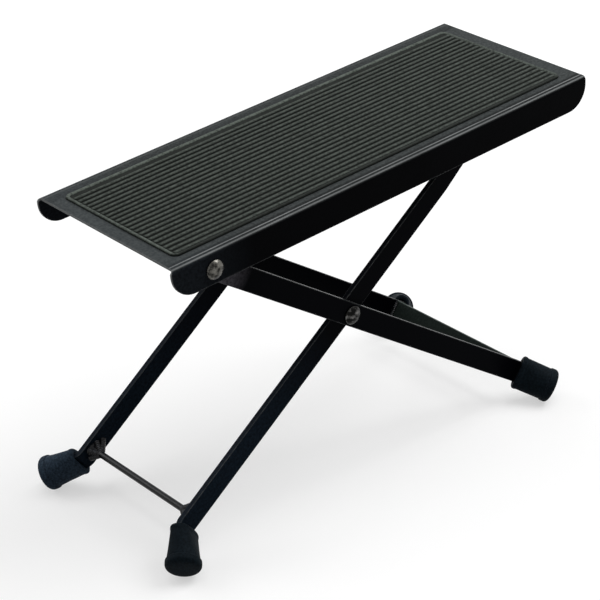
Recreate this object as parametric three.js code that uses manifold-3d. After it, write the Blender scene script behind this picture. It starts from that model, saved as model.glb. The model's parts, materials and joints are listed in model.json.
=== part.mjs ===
// Guitar footrest: a footplate of folded sheet steel under a ribbed rubber mat, on a folding scissor
// frame of flat steel strip with rubber feet. The frame's latch rod rests in one of the notches of a
// rack under the footplate, which sets the height.
// Sizes are in millimetres. X runs along the footplate, Y across it and Z up. The floor is Z = 0, and
// the origin lies on it under the middle of the footrest's outer box.

import * as THREE from 'three';
import { mergeVertices } from 'three/addons/utils/BufferGeometryUtils.js';
import Module from 'manifold-3d';

const wasm = await Module();
wasm.setup();

// Footplate: sheet steel with its long sides folded down as flanges
const PLATE_LENGTH = 278.6;
const PLATE_WIDTH = 110;
const PLATE_SHEET = 1.2;
const FLANGE_DEPTH = 16.6;
const FOLD_RADIUS = 2;
const FLANGE_CORNER_RADIUS = 13;

// Flange pivots: where the outer legs carry the footplate
const PIVOT_INSET = 23.1;
const PIVOT_DROP = 9.3;

// Rubber mat on the footplate
const MAT_MARGIN = 9;
const MAT_CORNER_RADIUS = 4;
const MAT_BASE = 1.1;
const MAT_RIM_WIDTH = 2.2;
const MAT_RIM_RISE = 1;
const MAT_RIB_RISE = 0.9;
const MAT_RIB_WIDTH = 2.7;
const MAT_RIB_DOME = 0.6;
const MAT_RIB_END_GAP = 1.2;
const MAT_RIB_COUNT = 22;

// Scissor frame: two pairs of flat strips crossing at the centre pivots
const STRIP_WIDTH = 12.2;
const STRIP_THICKNESS = 3;
const ARM_LENGTH = 110;
const TRACK_LENGTH = 179.2;
const LATCH_DROP = 15.4;
const OUTER_LEG_LENGTH = 146.2;
const INNER_LEG_LENGTH = 137.1;
const LATCH_END_RADIUS = 3.9;
const LATCH_TAPER_LENGTH = 26;
const TOE_ANGLE = THREE.MathUtils.degToRad(42.3);
const TOE_BEND_RADIUS = 5;
const TOE_LENGTH = 17;

// Rods and brace that tie each pair of strips
const LATCH_ROD_RADIUS = 2.5;
const LATCH_TENON_RADIUS = 1.8;
const LOWER_ROD_RADIUS = 1.6;
const LOWER_ROD_INSET = 7.2;
const WELD_RADIUS = 4.4;
const WELD_LENGTH = 4.5;
const BRACE_THICKNESS = 3;
const BRACE_INSET = 5;
const BRACE_WIDTH = 12.2;

// Rivets, spacers and washers at the pivots
const SHANK_RADIUS = 2.5;
const RIVET_HEAD_RADIUS = 4.5;
const RIVET_HEAD_RISE = 2.6;
const RIVET_TAIL_RADIUS = 4;
const RIVET_TAIL_RISE = 1;
const RIVET_EDGE = 0.3;
const SPACER_RADIUS = 5.5;
const SPACER_THICKNESS = 4;
const WASHER_RADIUS = 5.8;
const WASHER_THICKNESS = 1;

// Height rack: a channel with notched sides, welded under the footplate
const RACK_WIDTH = 30;
const RACK_SHEET = 1.5;
const RACK_CORNER_RADIUS = 2;
const NOTCH_COUNT = 4;
const NOTCHES_ABOVE = 1;
const NOTCH_PITCH = 13;
const NOTCH_DEPTH = 1;
const NOTCH_MOUTH = 1.4;
const RACK_END_MARGIN = 9;

// Rubber feet: caps that flare from a flat oval mouth to a round sole
const FOOT_START = 2.3;
const FOOT_LENGTH = 22.4;
const FOOT_MOUTH_WIDTH = 19.3;
const FOOT_MOUTH_DEPTH = 10.3;
const FOOT_SOLE_WIDTH = 18.4;
const FOOT_SOLE_DEPTH = 17.6;
const FOOT_SOLE_LIP = 0.5;

// Clearances: between fixed neighbours, and how far a cutting solid runs past what it cuts
const FIT_GAP = 0.3;
const OVERRUN = 2;

// Facets on arcs and round pieces
const ARC_STEPS = 6;
const ROUND_STEPS = 24;
const ROD_STEPS = 16;
const RIB_END_STEPS = 3;
const RIB_DOME_STEPS = 2;

// Rings of a foot as shares: of its length from the mouth, of the way from mouth to sole size, and of
// its size there
const FOOT_RING_SHARES = [
  [0, 0, 0.9],
  [0.03, 0, 0.97],
  [0.08, 0.04, 1],
  [0.45, 0.5, 0.99],
  [0.74, 0.86, 1],
  [0.8, 1, 1],
  [0.9, 1, 1],
  [0.96, 1, 0.9],
  [0.99, 1, 0.68],
  [1, 1, 0.4],
];
const SOLE_RING_SHARE = 0.8;

// Rings of a weld as shares: of its length from the leg, and of the way from rod to weld radius
const WELD_RING_SHARES = [
  [0, 1],
  [0.12, 0.8],
  [0.45, 0.25],
  [1, 0],
];

// Places along Y, outward from the middle plane
const PLATE_HALF_WIDTH = PLATE_WIDTH / 2;
const FLANGE_INNER = PLATE_HALF_WIDTH - PLATE_SHEET;
const SPACER_OUTER = FLANGE_INNER - FIT_GAP;
const SPACER_INNER = SPACER_OUTER - SPACER_THICKNESS;
const OUTER_STRIP_OUTER = SPACER_INNER - FIT_GAP;
const OUTER_STRIP_INNER = OUTER_STRIP_OUTER - STRIP_THICKNESS;
const WASHER_OUTER = OUTER_STRIP_INNER - FIT_GAP;
const WASHER_INNER = WASHER_OUTER - WASHER_THICKNESS;
const INNER_STRIP_OUTER = WASHER_INNER - FIT_GAP;
const INNER_STRIP_INNER = INNER_STRIP_OUTER - STRIP_THICKNESS;

// The upper arms and the line from flange pivot to latch rod make an isosceles triangle, so the rod
// keeps to that line while the legs fold
const TRACK_ANGLE = Math.asin((LATCH_DROP - PIVOT_DROP) / TRACK_LENGTH);
const BASE_ANGLE = Math.acos(TRACK_LENGTH / 2 / ARM_LENGTH);
const OUTER_LEG_ANGLE = BASE_ANGLE + TRACK_ANGLE;
const INNER_LEG_ANGLE = BASE_ANGLE - TRACK_ANGLE;
const PLATE_START = -PIVOT_INSET;

const BLACK_PAINT = { color: 0x17181a, roughness: 0.42, metalness: 0.35 };
const PLATE_PAINT = { color: 0x1b1d1f, roughness: 0.5, metalness: 0.3 };
const MAT_RUBBER = { color: 0x2b3130, roughness: 0.8, metalness: 0 };
const FOOT_RUBBER = { color: 0x1e2226, roughness: 0.75, metalness: 0 };
const NICKEL = { color: 0x9a9690, roughness: 0.3, metalness: 1 };
const DARK_CHROME = { color: 0x3a3a3c, roughness: 0.28, metalness: 1 };
const SPACER_NYLON = { color: 0x141414, roughness: 0.6, metalness: 0 };

const SIDES = [
  { name: 'front', turn: Math.PI },
  { name: 'rear', turn: 0 },
];

// Solids: between three.js geometry and closed solids that can be joined and cut
function solidOf(geometry) {
  const bare = geometry.clone();
  bare.deleteAttribute('normal');
  bare.deleteAttribute('uv');
  const welded = mergeVertices(bare);
  return new wasm.Manifold(
    new wasm.Mesh({
      numProp: 3,
      vertProperties: new Float32Array(welded.attributes.position.array),
      triVerts: new Uint32Array(welded.index.array),
    }),
  );
}

function geometryOf(solid) {
  const mesh = solid.getMesh();
  const indexed = new THREE.BufferGeometry();
  indexed.setAttribute('position', new THREE.BufferAttribute(mesh.vertProperties, 3));
  indexed.setIndex(new THREE.BufferAttribute(mesh.triVerts, 1));
  const geometry = indexed.toNonIndexed();
  geometry.computeVertexNormals();
  return geometry;
}

function meshOf(name, geometry, look) {
  const mesh = new THREE.Mesh(geometry, new THREE.MeshStandardMaterial(look));
  mesh.name = name;
  return mesh;
}

function extruded(shape, depth) {
  return new THREE.ExtrudeGeometry(shape, { depth, bevelEnabled: false, curveSegments: ARC_STEPS });
}

// A shape drawn in (Y, Z) and swept along +X from X = 0
function sweptAlongX(shape, length) {
  const turn = new THREE.Matrix4().makeBasis(
    new THREE.Vector3(0, 1, 0),
    new THREE.Vector3(0, 0, 1),
    new THREE.Vector3(1, 0, 0),
  );
  return extruded(shape, length).applyMatrix4(turn);
}

// A shape drawn in (X, Z) and swept along Y, centred on the middle plane
function sweptAlongY(shape, width) {
  const turn = new THREE.Matrix4().makeBasis(
    new THREE.Vector3(1, 0, 0),
    new THREE.Vector3(0, 0, 1),
    new THREE.Vector3(0, -1, 0),
  );
  return extruded(shape, width).applyMatrix4(turn).translate(0, width / 2, 0);
}

// A round cutter along Y at (x, z) that runs past both faces of what it cuts
function crossDrill(radius, halfLength, x, z) {
  const drill = new THREE.CylinderGeometry(radius, radius, (halfLength + OVERRUN) * 2, ROUND_STEPS);
  return solidOf(drill.translate(x, 0, z));
}

function roundedRectangle(x0, y0, x1, y1, radius) {
  const shape = new THREE.Shape();
  shape.moveTo(x0 + radius, y0);
  shape.lineTo(x1 - radius, y0);
  shape.absarc(x1 - radius, y0 + radius, radius, -Math.PI / 2, 0, false);
  shape.lineTo(x1, y1 - radius);
  shape.absarc(x1 - radius, y1 - radius, radius, 0, Math.PI / 2, false);
  shape.lineTo(x0 + radius, y1);
  shape.absarc(x0 + radius, y1 - radius, radius, Math.PI / 2, Math.PI, false);
  shape.lineTo(x0, y0 + radius);
  shape.absarc(x0 + radius, y0 + radius, radius, Math.PI, Math.PI * 1.5, false);
  return shape;
}

// Footplate: the folded channel, drawn in (Y, Z) with the flange pivots at Z = 0
function footplateSection() {
  const top = PIVOT_DROP;
  const bottom = top - FLANGE_DEPTH;
  const fold = PLATE_HALF_WIDTH - FOLD_RADIUS;
  const inside = FOLD_RADIUS - PLATE_SHEET;
  const shape = new THREE.Shape();
  shape.moveTo(-FLANGE_INNER, bottom);
  shape.lineTo(-FLANGE_INNER, top - FOLD_RADIUS);
  shape.absarc(-fold, top - FOLD_RADIUS, inside, Math.PI, Math.PI / 2, true);
  shape.lineTo(fold, top - PLATE_SHEET);
  shape.absarc(fold, top - FOLD_RADIUS, inside, Math.PI / 2, 0, true);
  shape.lineTo(FLANGE_INNER, bottom);
  shape.lineTo(PLATE_HALF_WIDTH, bottom);
  shape.lineTo(PLATE_HALF_WIDTH, top - FOLD_RADIUS);
  shape.absarc(fold, top - FOLD_RADIUS, FOLD_RADIUS, 0, Math.PI / 2, false);
  shape.lineTo(-fold, top);
  shape.absarc(-fold, top - FOLD_RADIUS, FOLD_RADIUS, Math.PI / 2, Math.PI, false);
  shape.lineTo(-PLATE_HALF_WIDTH, bottom);
  return shape;
}

// The footplate from the side: square at the top, with the flanges' lower corners rounded off
function footplateOutline() {
  const end = PLATE_START + PLATE_LENGTH;
  const bottom = PIVOT_DROP - FLANGE_DEPTH;
  const r = FLANGE_CORNER_RADIUS;
  const shape = new THREE.Shape();
  shape.moveTo(PLATE_START, PIVOT_DROP + OVERRUN);
  shape.lineTo(PLATE_START, bottom + r);
  shape.absarc(PLATE_START + r, bottom + r, r, Math.PI, Math.PI * 1.5, false);
  shape.lineTo(end - r, bottom);
  shape.absarc(end - r, bottom + r, r, -Math.PI / 2, 0, false);
  shape.lineTo(end, PIVOT_DROP + OVERRUN);
  return shape;
}

function footplate() {
  const channel = solidOf(
    sweptAlongX(footplateSection(), PLATE_LENGTH + OVERRUN * 2).translate(PLATE_START - OVERRUN, 0, 0),
  );
  const outline = solidOf(sweptAlongY(footplateOutline(), PLATE_WIDTH + OVERRUN * 2));
  const pivotHoles = crossDrill(SHANK_RADIUS + FIT_GAP, PLATE_HALF_WIDTH, 0, 0);
  return geometryOf(channel.intersect(outline).subtract(pivotHoles));
}

// Mat: a thin sheet with a raised rim and domed ribs along X, each ending short of the rim
function matRib(length) {
  const radius = MAT_RIB_WIDTH / 2;
  const flat = radius - MAT_RIB_DOME;
  const outline = new THREE.Shape();
  outline.absarc(length / 2 - radius, 0, flat, -Math.PI / 2, Math.PI / 2, false);
  outline.absarc(radius - length / 2, 0, flat, Math.PI / 2, Math.PI * 1.5, false);
  return new THREE.ExtrudeGeometry(outline, {
    depth: MAT_BASE + MAT_RIB_RISE - MAT_RIB_DOME * 2,
    bevelThickness: MAT_RIB_DOME,
    bevelSize: MAT_RIB_DOME,
    bevelSegments: RIB_DOME_STEPS,
    curveSegments: RIB_END_STEPS,
  }).translate(0, 0, MAT_RIB_DOME);
}

function treadMat() {
  const halfLength = PLATE_LENGTH / 2 - MAT_MARGIN;
  const halfWidth = PLATE_HALF_WIDTH - MAT_MARGIN;
  const sheet = roundedRectangle(-halfLength, -halfWidth, halfLength, halfWidth, MAT_CORNER_RADIUS);
  const fieldLength = halfLength - MAT_RIM_WIDTH;
  const fieldWidth = halfWidth - MAT_RIM_WIDTH;
  const fieldRadius = MAT_CORNER_RADIUS - MAT_RIM_WIDTH / 2;
  const field = roundedRectangle(-fieldLength, -fieldWidth, fieldLength, fieldWidth, fieldRadius);
  const well = solidOf(extruded(field, MAT_RIM_RISE + OVERRUN).translate(0, 0, MAT_BASE));
  const ribLength = (fieldLength - MAT_RIB_END_GAP) * 2;
  const pitch = (halfWidth * 2 - MAT_RIM_WIDTH) / (MAT_RIB_COUNT + 1);
  let mat = solidOf(extruded(sheet, MAT_BASE + MAT_RIM_RISE)).subtract(well);
  for (let i = 0; i < MAT_RIB_COUNT; i += 1) {
    const y = (i - (MAT_RIB_COUNT - 1) / 2) * pitch;
    mat = mat.add(solidOf(matRib(ribLength).translate(0, y, 0)));
  }
  const middle = PLATE_START + PLATE_LENGTH / 2;
  return geometryOf(mat).translate(middle, 0, PIVOT_DROP + FIT_GAP);
}

// Height rack: how far each notch lies from the flange pivots, the highest setting first
function notchReach(index) {
  return TRACK_LENGTH + (index - NOTCHES_ABOVE) * NOTCH_PITCH;
}

// The teeth end just above the rod's track where the track comes nearest to the footplate
const TOOTH_TIP = FIT_GAP + LATCH_ROD_RADIUS - notchReach(0) * Math.sin(TRACK_ANGLE);
const SEAT_HEIGHT = TOOTH_TIP + NOTCH_DEPTH;
const SEAT_RADIUS = LATCH_ROD_RADIUS + FIT_GAP;

function notchPlace(index) {
  return Math.sqrt(notchReach(index) ** 2 - SEAT_HEIGHT ** 2);
}

function rackOutline() {
  const top = PIVOT_DROP - PLATE_SHEET - FIT_GAP;
  const start = notchPlace(0) - RACK_END_MARGIN;
  const end = notchPlace(NOTCH_COUNT - 1) + RACK_END_MARGIN;
  const r = RACK_CORNER_RADIUS;
  const shape = new THREE.Shape();
  shape.moveTo(start, top);
  shape.lineTo(start, TOOTH_TIP + r);
  shape.absarc(start + r, TOOTH_TIP + r, r, Math.PI, Math.PI * 1.5, false);
  for (let i = 0; i < NOTCH_COUNT; i += 1) {
    const x = notchPlace(i);
    shape.lineTo(x - SEAT_RADIUS - NOTCH_MOUTH, TOOTH_TIP);
    shape.lineTo(x - SEAT_RADIUS, SEAT_HEIGHT);
    shape.absarc(x, SEAT_HEIGHT, SEAT_RADIUS, Math.PI, 0, true);
    shape.lineTo(x + SEAT_RADIUS + NOTCH_MOUTH, TOOTH_TIP);
  }
  shape.absarc(end - r, TOOTH_TIP + r, r, -Math.PI / 2, 0, false);
  shape.lineTo(end, top);
  return shape;
}

function heightRack() {
  const block = solidOf(sweptAlongY(rackOutline(), RACK_WIDTH));
  const top = PIVOT_DROP - PLATE_SHEET - FIT_GAP - RACK_SHEET;
  const depth = top - TOOTH_TIP + OVERRUN;
  const length = notchPlace(NOTCH_COUNT - 1) + RACK_END_MARGIN + OVERRUN;
  const channel = new THREE.BoxGeometry(length, RACK_WIDTH - RACK_SHEET * 2, depth);
  const inside = solidOf(channel.translate(length / 2 + OVERRUN, 0, top - depth / 2));
  return geometryOf(block.subtract(inside));
}

// A strip seen along Z: straight from `start` to its outward bend at `bend`, then the toe
function stripBand(start, bend, outer, inner) {
  const tangent = TOE_BEND_RADIUS * Math.tan(TOE_ANGLE / 2);
  const middle = (outer + inner) / 2;
  const bendStart = bend - tangent;
  const centre = new THREE.Vector2(bendStart, middle + TOE_BEND_RADIUS);
  const nearRadius = TOE_BEND_RADIUS - STRIP_THICKNESS / 2;
  const farRadius = TOE_BEND_RADIUS + STRIP_THICKNESS / 2;
  const along = new THREE.Vector2(Math.cos(TOE_ANGLE), Math.sin(TOE_ANGLE));
  const across = new THREE.Vector2(-along.y, along.x);
  const tip = new THREE.Vector2(bend, middle).addScaledVector(along, TOE_LENGTH);
  const tipOuter = tip.clone().addScaledVector(across, STRIP_THICKNESS / 2);
  const tipInner = tip.clone().addScaledVector(across, -STRIP_THICKNESS / 2);
  const shape = new THREE.Shape();
  shape.moveTo(start, inner);
  shape.lineTo(bendStart, inner);
  shape.absarc(centre.x, centre.y, farRadius, -Math.PI / 2, TOE_ANGLE - Math.PI / 2, false);
  shape.lineTo(tipInner.x, tipInner.y);
  shape.lineTo(tipOuter.x, tipOuter.y);
  shape.absarc(centre.x, centre.y, nearRadius, TOE_ANGLE - Math.PI / 2, -Math.PI / 2, true);
  shape.lineTo(start, outer);
  return shape;
}

// A strip seen along Y: a round upper end of `endRadius` at `start`, widening over `taper`
function stripOutline(start, end, endRadius, taper) {
  const half = STRIP_WIDTH / 2;
  const shape = new THREE.Shape();
  shape.absarc(start, 0, endRadius, Math.PI / 2, Math.PI * 1.5, false);
  shape.lineTo(start + taper, -half);
  shape.lineTo(end, -half);
  shape.lineTo(end, half);
  shape.lineTo(start + taper, half);
  return shape;
}

function strip({ top, bend, outer, inner, endRadius, taper, holes }) {
  const reach = bend + TOE_LENGTH + OVERRUN;
  const band = extruded(stripBand(top - STRIP_WIDTH, bend, outer, inner), STRIP_WIDTH);
  const bar = solidOf(band.translate(0, 0, -STRIP_WIDTH / 2));
  const farSide = outer + TOE_LENGTH + OVERRUN;
  const outline = solidOf(sweptAlongY(stripOutline(top, reach, endRadius, taper), farSide * 2));
  let leg = bar.intersect(outline);
  for (const [x, radius] of holes) {
    leg = leg.subtract(crossDrill(radius, outer, x, 0));
  }
  return geometryOf(leg);
}

function outerLeg() {
  const hole = SHANK_RADIUS + FIT_GAP;
  return strip({
    top: 0,
    bend: ARM_LENGTH + OUTER_LEG_LENGTH,
    outer: OUTER_STRIP_OUTER,
    inner: OUTER_STRIP_INNER,
    endRadius: STRIP_WIDTH / 2,
    taper: 0,
    holes: [[0, hole], [ARM_LENGTH, hole]],
  });
}

function innerLeg() {
  return strip({
    top: -ARM_LENGTH,
    bend: INNER_LEG_LENGTH,
    outer: INNER_STRIP_OUTER,
    inner: INNER_STRIP_INNER,
    endRadius: LATCH_END_RADIUS,
    taper: LATCH_TAPER_LENGTH,
    holes: [[-ARM_LENGTH, LATCH_TENON_RADIUS + FIT_GAP], [0, SHANK_RADIUS + FIT_GAP]],
  });
}

// A solid of revolution about Y from a list of [radius, height]
function turned(profile, steps) {
  return new THREE.LatheGeometry(profile.map(([r, y]) => new THREE.Vector2(r, y)), steps);
}

// Points of a domed head from its rim to its crown
function domeProfile(radius, base, rise) {
  const sphere = (radius ** 2 + rise ** 2) / (2 * rise);
  const half = Math.asin(radius / sphere);
  const points = [];
  for (let i = 0; i <= ARC_STEPS; i += 1) {
    const angle = half * (1 - i / ARC_STEPS);
    points.push([sphere * Math.sin(angle), base + rise - sphere * (1 - Math.cos(angle))]);
  }
  points[ARC_STEPS][0] = 0;
  return points;
}

// A rivet along Y: a domed head outside `outer` and a flat tail inside `inner`
function rivet(outer, inner) {
  const seat = outer + FIT_GAP;
  const tail = inner - FIT_GAP;
  return turned(
    [
      [0, tail - RIVET_TAIL_RISE],
      [RIVET_TAIL_RADIUS - RIVET_EDGE, tail - RIVET_TAIL_RISE],
      [RIVET_TAIL_RADIUS, tail - RIVET_TAIL_RISE + RIVET_EDGE],
      [RIVET_TAIL_RADIUS, tail],
      [SHANK_RADIUS, tail],
      [SHANK_RADIUS, seat],
      [RIVET_HEAD_RADIUS, seat],
      ...domeProfile(RIVET_HEAD_RADIUS, seat + RIVET_EDGE, RIVET_HEAD_RISE - RIVET_EDGE),
    ],
    ROUND_STEPS,
  );
}

// A ring along Y between `outer` and `inner`, round a rivet's shank
function ring(outer, inner, radius) {
  const bore = SHANK_RADIUS + FIT_GAP;
  return turned([[bore, inner], [radius, inner], [radius, outer], [bore, outer], [bore, inner]], ROUND_STEPS);
}

// The latch rod: shouldered, with a tenon riveted flush into each inner leg
function latchRod() {
  const shoulder = INNER_STRIP_INNER - FIT_GAP;
  return turned(
    [
      [0, -INNER_STRIP_OUTER],
      [LATCH_TENON_RADIUS, -INNER_STRIP_OUTER],
      [LATCH_TENON_RADIUS, -shoulder],
      [LATCH_ROD_RADIUS, -shoulder],
      [LATCH_ROD_RADIUS, shoulder],
      [LATCH_TENON_RADIUS, shoulder],
      [LATCH_TENON_RADIUS, INNER_STRIP_OUTER],
      [0, INNER_STRIP_OUTER],
    ],
    ROD_STEPS,
  );
}

// The lower rod, with a hollow-sided cone of weld at each end against the inner legs
function lowerRod() {
  const end = INNER_STRIP_INNER - FIT_GAP;
  const weld = WELD_RING_SHARES.map(([along, out]) => [
    LOWER_ROD_RADIUS + (WELD_RADIUS - LOWER_ROD_RADIUS) * out,
    end - WELD_LENGTH * along,
  ]);
  const nearWeld = weld.map(([radius, y]) => [radius, -y]);
  return turned([[0, -end], ...nearWeld, ...weld.reverse(), [0, end]], ROD_STEPS);
}

function crossBrace() {
  return new THREE.BoxGeometry(BRACE_THICKNESS, (OUTER_STRIP_INNER - FIT_GAP) * 2, BRACE_WIDTH);
}

// A foot along +X from its mouth at X = 0: oval rings, flaring to the sole
function footShell() {
  const rings = FOOT_RING_SHARES.map(([along, flare, size]) => ({
    x: FOOT_LENGTH * along,
    y: (FOOT_MOUTH_DEPTH + (FOOT_SOLE_DEPTH - FOOT_MOUTH_DEPTH) * flare) / 2,
    z: (FOOT_MOUTH_WIDTH + (FOOT_SOLE_WIDTH - FOOT_MOUTH_WIDTH) * flare) / 2,
    step: along >= SOLE_RING_SHARE ? FOOT_SOLE_LIP : 0,
    size,
  }));
  const positions = [];
  for (const { x, y, z, step, size } of rings) {
    for (let i = 0; i < ROUND_STEPS; i += 1) {
      const angle = (i / ROUND_STEPS) * Math.PI * 2;
      positions.push(x, (y + step) * size * Math.cos(angle), (z + step) * size * Math.sin(angle));
    }
  }
  const mouth = positions.length / 3;
  positions.push(0, 0, 0);
  positions.push(FOOT_LENGTH, 0, 0);
  const faces = [];
  for (let k = 0; k < rings.length - 1; k += 1) {
    for (let i = 0; i < ROUND_STEPS; i += 1) {
      const a = k * ROUND_STEPS + i;
      const b = k * ROUND_STEPS + ((i + 1) % ROUND_STEPS);
      faces.push(a, b, a + ROUND_STEPS, b, b + ROUND_STEPS, a + ROUND_STEPS);
    }
  }
  const last = (rings.length - 1) * ROUND_STEPS;
  for (let i = 0; i < ROUND_STEPS; i += 1) {
    const next = (i + 1) % ROUND_STEPS;
    faces.push(mouth, next, i);
    faces.push(mouth + 1, last + i, last + next);
  }
  const geometry = new THREE.BufferGeometry();
  geometry.setAttribute('position', new THREE.Float32BufferAttribute(positions, 3));
  geometry.setIndex(faces);
  return geometry;
}

// The foot, pushed on the toe of a strip that bends outward at X = 0
function rubberFoot() {
  const depth = TOE_LENGTH - FOOT_START + FIT_GAP + OVERRUN;
  const pocket = new THREE.BoxGeometry(depth, STRIP_THICKNESS + FIT_GAP * 2, STRIP_WIDTH + FIT_GAP * 2);
  const cut = solidOf(pocket.translate(depth / 2 - OVERRUN, 0, 0));
  return geometryOf(solidOf(footShell()).subtract(cut)).translate(FOOT_START, 0, 0);
}

// A group for one side of a frame; its +Y points outward on both sides
function sideGroup(side) {
  const group = new THREE.Group();
  group.rotation.x = side.turn;
  return group;
}

function footGroup(name, bend, outer, inner) {
  const group = new THREE.Group();
  group.position.set(bend, (outer + inner) / 2, 0);
  group.rotation.z = TOE_ANGLE;
  group.add(meshOf(name, rubberFoot(), FOOT_RUBBER));
  return group;
}

// Footplate, mat and rack, with the flange pivots at the origin
function platformAssembly() {
  const group = new THREE.Group();
  group.add(meshOf('top_plate', footplate(), PLATE_PAINT));
  group.add(meshOf('tread_mat', treadMat(), MAT_RUBBER));
  group.add(meshOf('height_rack', heightRack(), BLACK_PAINT));
  return group;
}

// The rivets and spacers that join the outer legs to the flanges
function flangePivots() {
  const group = new THREE.Group();
  for (const side of SIDES) {
    const half = sideGroup(side);
    half.add(meshOf(`flange_rivet_${side.name}`, rivet(PLATE_HALF_WIDTH, OUTER_STRIP_INNER), NICKEL));
    const spacer = ring(SPACER_OUTER, SPACER_INNER, SPACER_RADIUS);
    half.add(meshOf(`flange_spacer_${side.name}`, spacer, SPACER_NYLON));
    group.add(half);
  }
  return group;
}

// The outer legs from the flange pivots at the origin, running along +X to their feet
function outerFrame() {
  const group = new THREE.Group();
  const bend = ARM_LENGTH + OUTER_LEG_LENGTH;
  for (const side of SIDES) {
    const half = sideGroup(side);
    half.add(meshOf(`outer_leg_${side.name}`, outerLeg(), BLACK_PAINT));
    half.add(footGroup(`outer_foot_${side.name}`, bend, OUTER_STRIP_OUTER, OUTER_STRIP_INNER));
    const pin = meshOf(`centre_rivet_${side.name}`, rivet(OUTER_STRIP_OUTER, INNER_STRIP_INNER), DARK_CHROME);
    const washer = meshOf(`pivot_washer_${side.name}`, ring(WASHER_OUTER, WASHER_INNER, WASHER_RADIUS), NICKEL);
    pin.position.x = ARM_LENGTH;
    washer.position.x = ARM_LENGTH;
    half.add(pin, washer);
    group.add(half);
  }
  const brace = meshOf('outer_cross_brace', crossBrace(), BLACK_PAINT);
  brace.position.x = bend - BRACE_INSET;
  group.add(brace);
  group.rotation.y = OUTER_LEG_ANGLE;
  return group;
}

// The inner legs from the centre pivots at the origin, running along +X to their feet
function innerFrame() {
  const group = new THREE.Group();
  for (const side of SIDES) {
    const half = sideGroup(side);
    half.add(meshOf(`inner_leg_${side.name}`, innerLeg(), BLACK_PAINT));
    half.add(footGroup(`inner_foot_${side.name}`, INNER_LEG_LENGTH, INNER_STRIP_OUTER, INNER_STRIP_INNER));
    group.add(half);
  }
  const latch = meshOf('latch_rod', latchRod(), BLACK_PAINT);
  latch.position.x = -ARM_LENGTH;
  const lower = meshOf('lower_cross_rod', lowerRod(), BLACK_PAINT);
  lower.position.x = INNER_LEG_LENGTH - LOWER_ROD_INSET;
  group.add(latch, lower);
  group.position.set(ARM_LENGTH * Math.cos(OUTER_LEG_ANGLE), 0, -ARM_LENGTH * Math.sin(OUTER_LEG_ANGLE));
  group.rotation.y = Math.PI - INNER_LEG_ANGLE;
  return group;
}

// The lowest point of one pair of feet once the whole is tilted by `tilt` about Y
function lowestPoint(group, namePart, tilt) {
  const turn = new THREE.Matrix4().makeRotationY(-tilt);
  const point = new THREE.Vector3();
  let lowest = null;
  let height = Infinity;
  group.traverse((node) => {
    if (!node.isMesh || !node.name.startsWith(namePart)) return;
    const positions = node.geometry.attributes.position;
    for (let i = 0; i < positions.count; i += 1) {
      point.fromBufferAttribute(positions, i).applyMatrix4(node.matrixWorld);
      const z = point.clone().applyMatrix4(turn).z;
      if (z < height) {
        height = z;
        lowest = point.clone();
      }
    }
  });
  return lowest;
}

// The tilt at which both pairs of feet stand on one level floor
function standingTilt(group) {
  const rounds = 8;
  let tilt = 0;
  group.updateMatrixWorld(true);
  for (let i = 0; i < rounds; i += 1) {
    const outer = lowestPoint(group, 'outer_foot', tilt);
    const inner = lowestPoint(group, 'inner_foot', tilt);
    tilt = Math.atan2(inner.z - outer.z, outer.x - inner.x);
  }
  return tilt;
}

// Everything in the footplate's frame, tilted to stand, and moved so that the floor is Z = 0
function standingFootrest() {
  const tilted = new THREE.Group();
  tilted.add(platformAssembly(), flangePivots(), outerFrame(), innerFrame());
  tilted.rotation.y = -standingTilt(tilted);
  const whole = new THREE.Group();
  whole.add(tilted);
  whole.updateMatrixWorld(true);
  const box = new THREE.Box3().setFromObject(whole, true);
  const middle = box.getCenter(new THREE.Vector3());
  tilted.position.set(-middle.x, -middle.y, -box.min.z);
  whole.updateMatrixWorld(true);
  return whole;
}

const group = standingFootrest();

export default group;
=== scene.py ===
import json
import math

import bmesh
import bpy
from mathutils import Matrix, Vector


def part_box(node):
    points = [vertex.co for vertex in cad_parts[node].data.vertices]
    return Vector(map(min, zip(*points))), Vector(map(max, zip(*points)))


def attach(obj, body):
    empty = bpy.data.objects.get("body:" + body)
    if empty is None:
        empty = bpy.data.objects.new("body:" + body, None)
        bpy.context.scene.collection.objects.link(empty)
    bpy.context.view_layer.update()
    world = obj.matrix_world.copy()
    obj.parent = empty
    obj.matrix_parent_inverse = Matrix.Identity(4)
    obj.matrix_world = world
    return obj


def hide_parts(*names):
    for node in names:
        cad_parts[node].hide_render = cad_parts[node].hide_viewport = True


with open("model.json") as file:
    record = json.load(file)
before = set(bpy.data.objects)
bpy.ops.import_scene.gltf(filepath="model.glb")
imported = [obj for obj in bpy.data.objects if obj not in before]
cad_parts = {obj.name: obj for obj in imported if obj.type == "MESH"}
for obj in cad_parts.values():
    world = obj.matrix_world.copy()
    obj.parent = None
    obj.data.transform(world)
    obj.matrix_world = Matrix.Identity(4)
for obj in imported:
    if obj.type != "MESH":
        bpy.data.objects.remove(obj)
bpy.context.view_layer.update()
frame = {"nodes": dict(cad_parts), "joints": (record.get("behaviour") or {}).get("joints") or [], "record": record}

scene = bpy.context.scene

# Camera. A long lens from the front left, looking down on the footplate, as in a catalogue picture.
# Its lens axis lies a little off the middle of the frame.
CAMERA_PLACE = Vector((-0.65961, -0.78341, 0.64061))
CAMERA_FORWARD = Vector((0.567408, 0.673154, -0.474240))
CAMERA_UP = Vector((0.329704, 0.342021, 0.879946))
CAMERA_LENS = 130.67
CAMERA_SHIFT = (-0.0255, -0.0147)
CAMERA_CLIP = (0.05, 30.0)

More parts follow.
